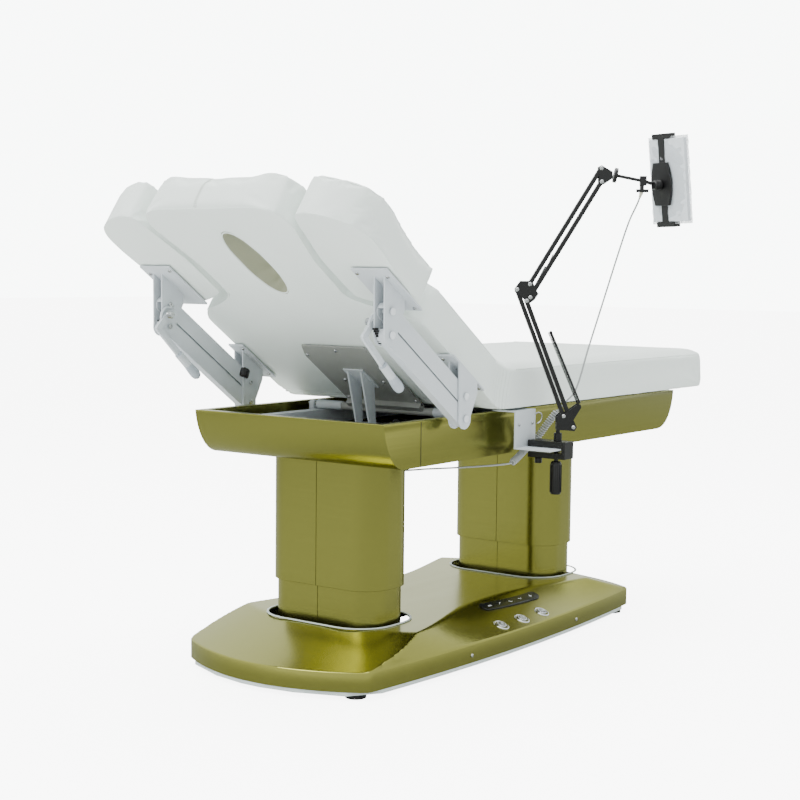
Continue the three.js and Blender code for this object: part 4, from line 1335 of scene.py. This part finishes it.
# ---------- carried-over CAD ----------
# Finish, bevel in mm, and the beginnings of the names of the nodes that get them.
CARRIED = [
    (RIM_WHITE, 1.5, ["rim_light"]),
    (RIM_WHITE, 0.8, ["column_ring"]),
    (RUBBER, 1.0, ["leveling_foot"]),
    (CHROME, 0.6, ["button_"]),
    (STEEL, 0.6, ["hinge_pin"]),
    (STEEL, 0.8, ["actuator_rod"]),
    (GLASS, 0.8, ["touch_strip"]),
    (PLATE_GREY, 0.8, ["back_plate"]),
    (GREY, 1.2, ["top_frame"]),
    (GREY, 1.6, ["accessory_bracket"]),
    (GREY, 0.7, ["actuator_clevis"]),
    (GREY, 0.9, ["arm_bracket", "pad_bracket", "upper_link", "lower_link", "release_lever"]),
    (BLACK, 1.6, ["arm_clamp"]),
    (BLACK, 1.5, ["actuator_body"]),
    (BLACK, 1.0, ["clamp_screw", "jaw_"]),
    (BLACK, 0.8, ["holder_rod"]),
    (BLACK_STEEL, 1.0, ["base_chassis"]),
    (BLACK_STEEL, 0.8, ["upper_stage", "lower_stage", "lower_bar", "upper_bar"]),
    (BLACK_STEEL, 0.7, ["arm_swivel", "elbow_plates", "wrist_plates"]),
    (TABLET_WHITE, 2.5, ["tablet"]),
]


def dress_cad():
    for finish, width, starts in CARRIED:
        for node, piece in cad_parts.items():
            if node.startswith(tuple(starts)):
                dress_node(piece, finish, width)


def dress_node(piece, finish, width):
    """Material and rounded edges on a CAD node that stays visible."""
    for slot in piece.material_slots:
        slot.material = finish
    weld = piece.modifiers.new("weld", "WELD")
    weld.merge_threshold = 1e-5
    add_bevel(piece, width, 3, 35)
    if "custom_normal" in piece.data.attributes:
        piece.data.attributes.remove(piece.data.attributes["custom_normal"])
    smooth(piece.data, 35)


# ---------- studio ----------
NEAR_SIDE_GLOW = 1.3
FAR_SIDE_GLOW = 1.6
OVERHEAD_GLOW = 1.9
BACKDROP_WHITE = 9.0
FLOOR_WHITE = 6.5
FLOOR_PAPER = (0.93, 0.93, 0.93)
# Floor colour seen only by glossy rays: painted dark reflection in the metal.
FLOOR_PAINTED_REFLECTION = (0.27, 0.28, 0.26)
FLOOR_REACH = 40.0


def studio():
    bm = bmesh.new()
    bmesh.ops.create_grid(bm, x_segments=4, y_segments=4, size=FLOOR_REACH)
    floor = finish_mesh("floor", bm, studio_floor(), None, "floor")
    del floor["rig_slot"]
    world = bpy.data.worlds.new("studio")
    bpy.context.scene.world = world
    world.use_nodes = True
    shade_world(world.node_tree)
    add_light("key", (-3.6, 1.2, 4.2), (-0.2, 0, 0.6), 3.0, 150)
    add_light("top", (0.6, 0.4, 5.0), (0.2, 0, 0.4), 4.5, 260)


def shade_world(tree):
    """Studio light: a little brighter behind the bed and overhead, and a white backdrop in view."""
    links = tree.links
    where = tree.nodes.new("ShaderNodeTexCoord")
    split = tree.nodes.new("ShaderNodeSeparateXYZ")
    links.new(where.outputs["Generated"], split.inputs["Vector"])
    brightest = tree.nodes.new("ShaderNodeMath")
    brightest.operation = "MAXIMUM"
    ramps = (
        ("Y", {"From_Min": -0.5, "From_Max": 0.35, "To_Min": NEAR_SIDE_GLOW, "To_Max": FAR_SIDE_GLOW}),
        ("Z", {"From_Min": 0.25, "From_Max": 0.8, "To_Min": 0.0, "To_Max": OVERHEAD_GLOW}),
    )
    for number, (direction, values) in enumerate(ramps):
        ramp = add_node(tree, "ShaderNodeMapRange", **values)
        links.new(split.outputs[direction], ramp.inputs["Value"])
        links.new(ramp.outputs["Result"], brightest.inputs[number])
    background = tree.nodes["Background"]
    background.inputs["Color"].default_value = (0.96, 1.0, 0.985, 1)
    shown = add_node(tree, "ShaderNodeMix", B=BACKDROP_WHITE)
    path = tree.nodes.new("ShaderNodeLightPath")
    links.new(path.outputs["Is Camera Ray"], shown.inputs["Factor"])
    links.new(brightest.outputs["Value"], shown.inputs["A"])
    links.new(shown.outputs["Result"], background.inputs["Strength"])


def studio_floor():
    """Pale paper floor, shown white, and mirrored by metal in a darker colour: a painted dark reflection.
    """
    paper = Finish("floor_paper", FLOOR_PAPER, 0.7)
    path = paper.tree.nodes.new("ShaderNodeLightPath")
    # Glossy rays see the darker colour: painted reflection.
    mixed = colour_mix(paper.tree, path.outputs["Is Glossy Ray"], FLOOR_PAPER, FLOOR_PAINTED_REFLECTION)
    paper.links.new(mixed, paper.shader.inputs["Base Color"])
    paper.set("Emission Color", (1, 1, 1, 1))
    glow = paper.tree.nodes.new("ShaderNodeMath")
    glow.operation = "MULTIPLY"
    glow.inputs[1].default_value = FLOOR_WHITE
    paper.links.new(path.outputs["Is Camera Ray"], glow.inputs[0])
    paper.links.new(glow.outputs["Value"], paper.shader.inputs["Emission Strength"])
    return paper.made


def add_light(name, place, target, size, power):
    light = bpy.data.lights.new(name, "AREA")
    light.shape = "DISK"
    light.size = size
    light.energy = power
    holder = bpy.data.objects.new(name, light)
    bpy.context.scene.collection.objects.link(holder)
    holder.location = place
    aim = Vector(target) - Vector(place)
    holder.rotation_euler = aim.to_track_quat("-Z", "Y").to_euler()


# ---------- assembly ----------
add_camera()
cord()
mattress()
for side_name, side_sign in (("left", 1), ("right", -1)):
    arm_pad(side_name)
    armrest_hardware(side_name, side_sign)
    lever_grip(side_name, side_sign)
base_cover()
for end_name, column_x in COLUMNS.items():
    column_sleeve(f"inner_sleeve_{end_name}", column_x, SLEEVE["step"], "base")
    column_sleeve(f"outer_sleeve_{end_name}", column_x, 0, "lift")
tray_skin()
tray_details()
back_plate_details()
buttons()
touch_symbols()
base_screws()
arm_details()
bracket_details()
tablet_bag()
holder_shell()
dress_cad()
studio()
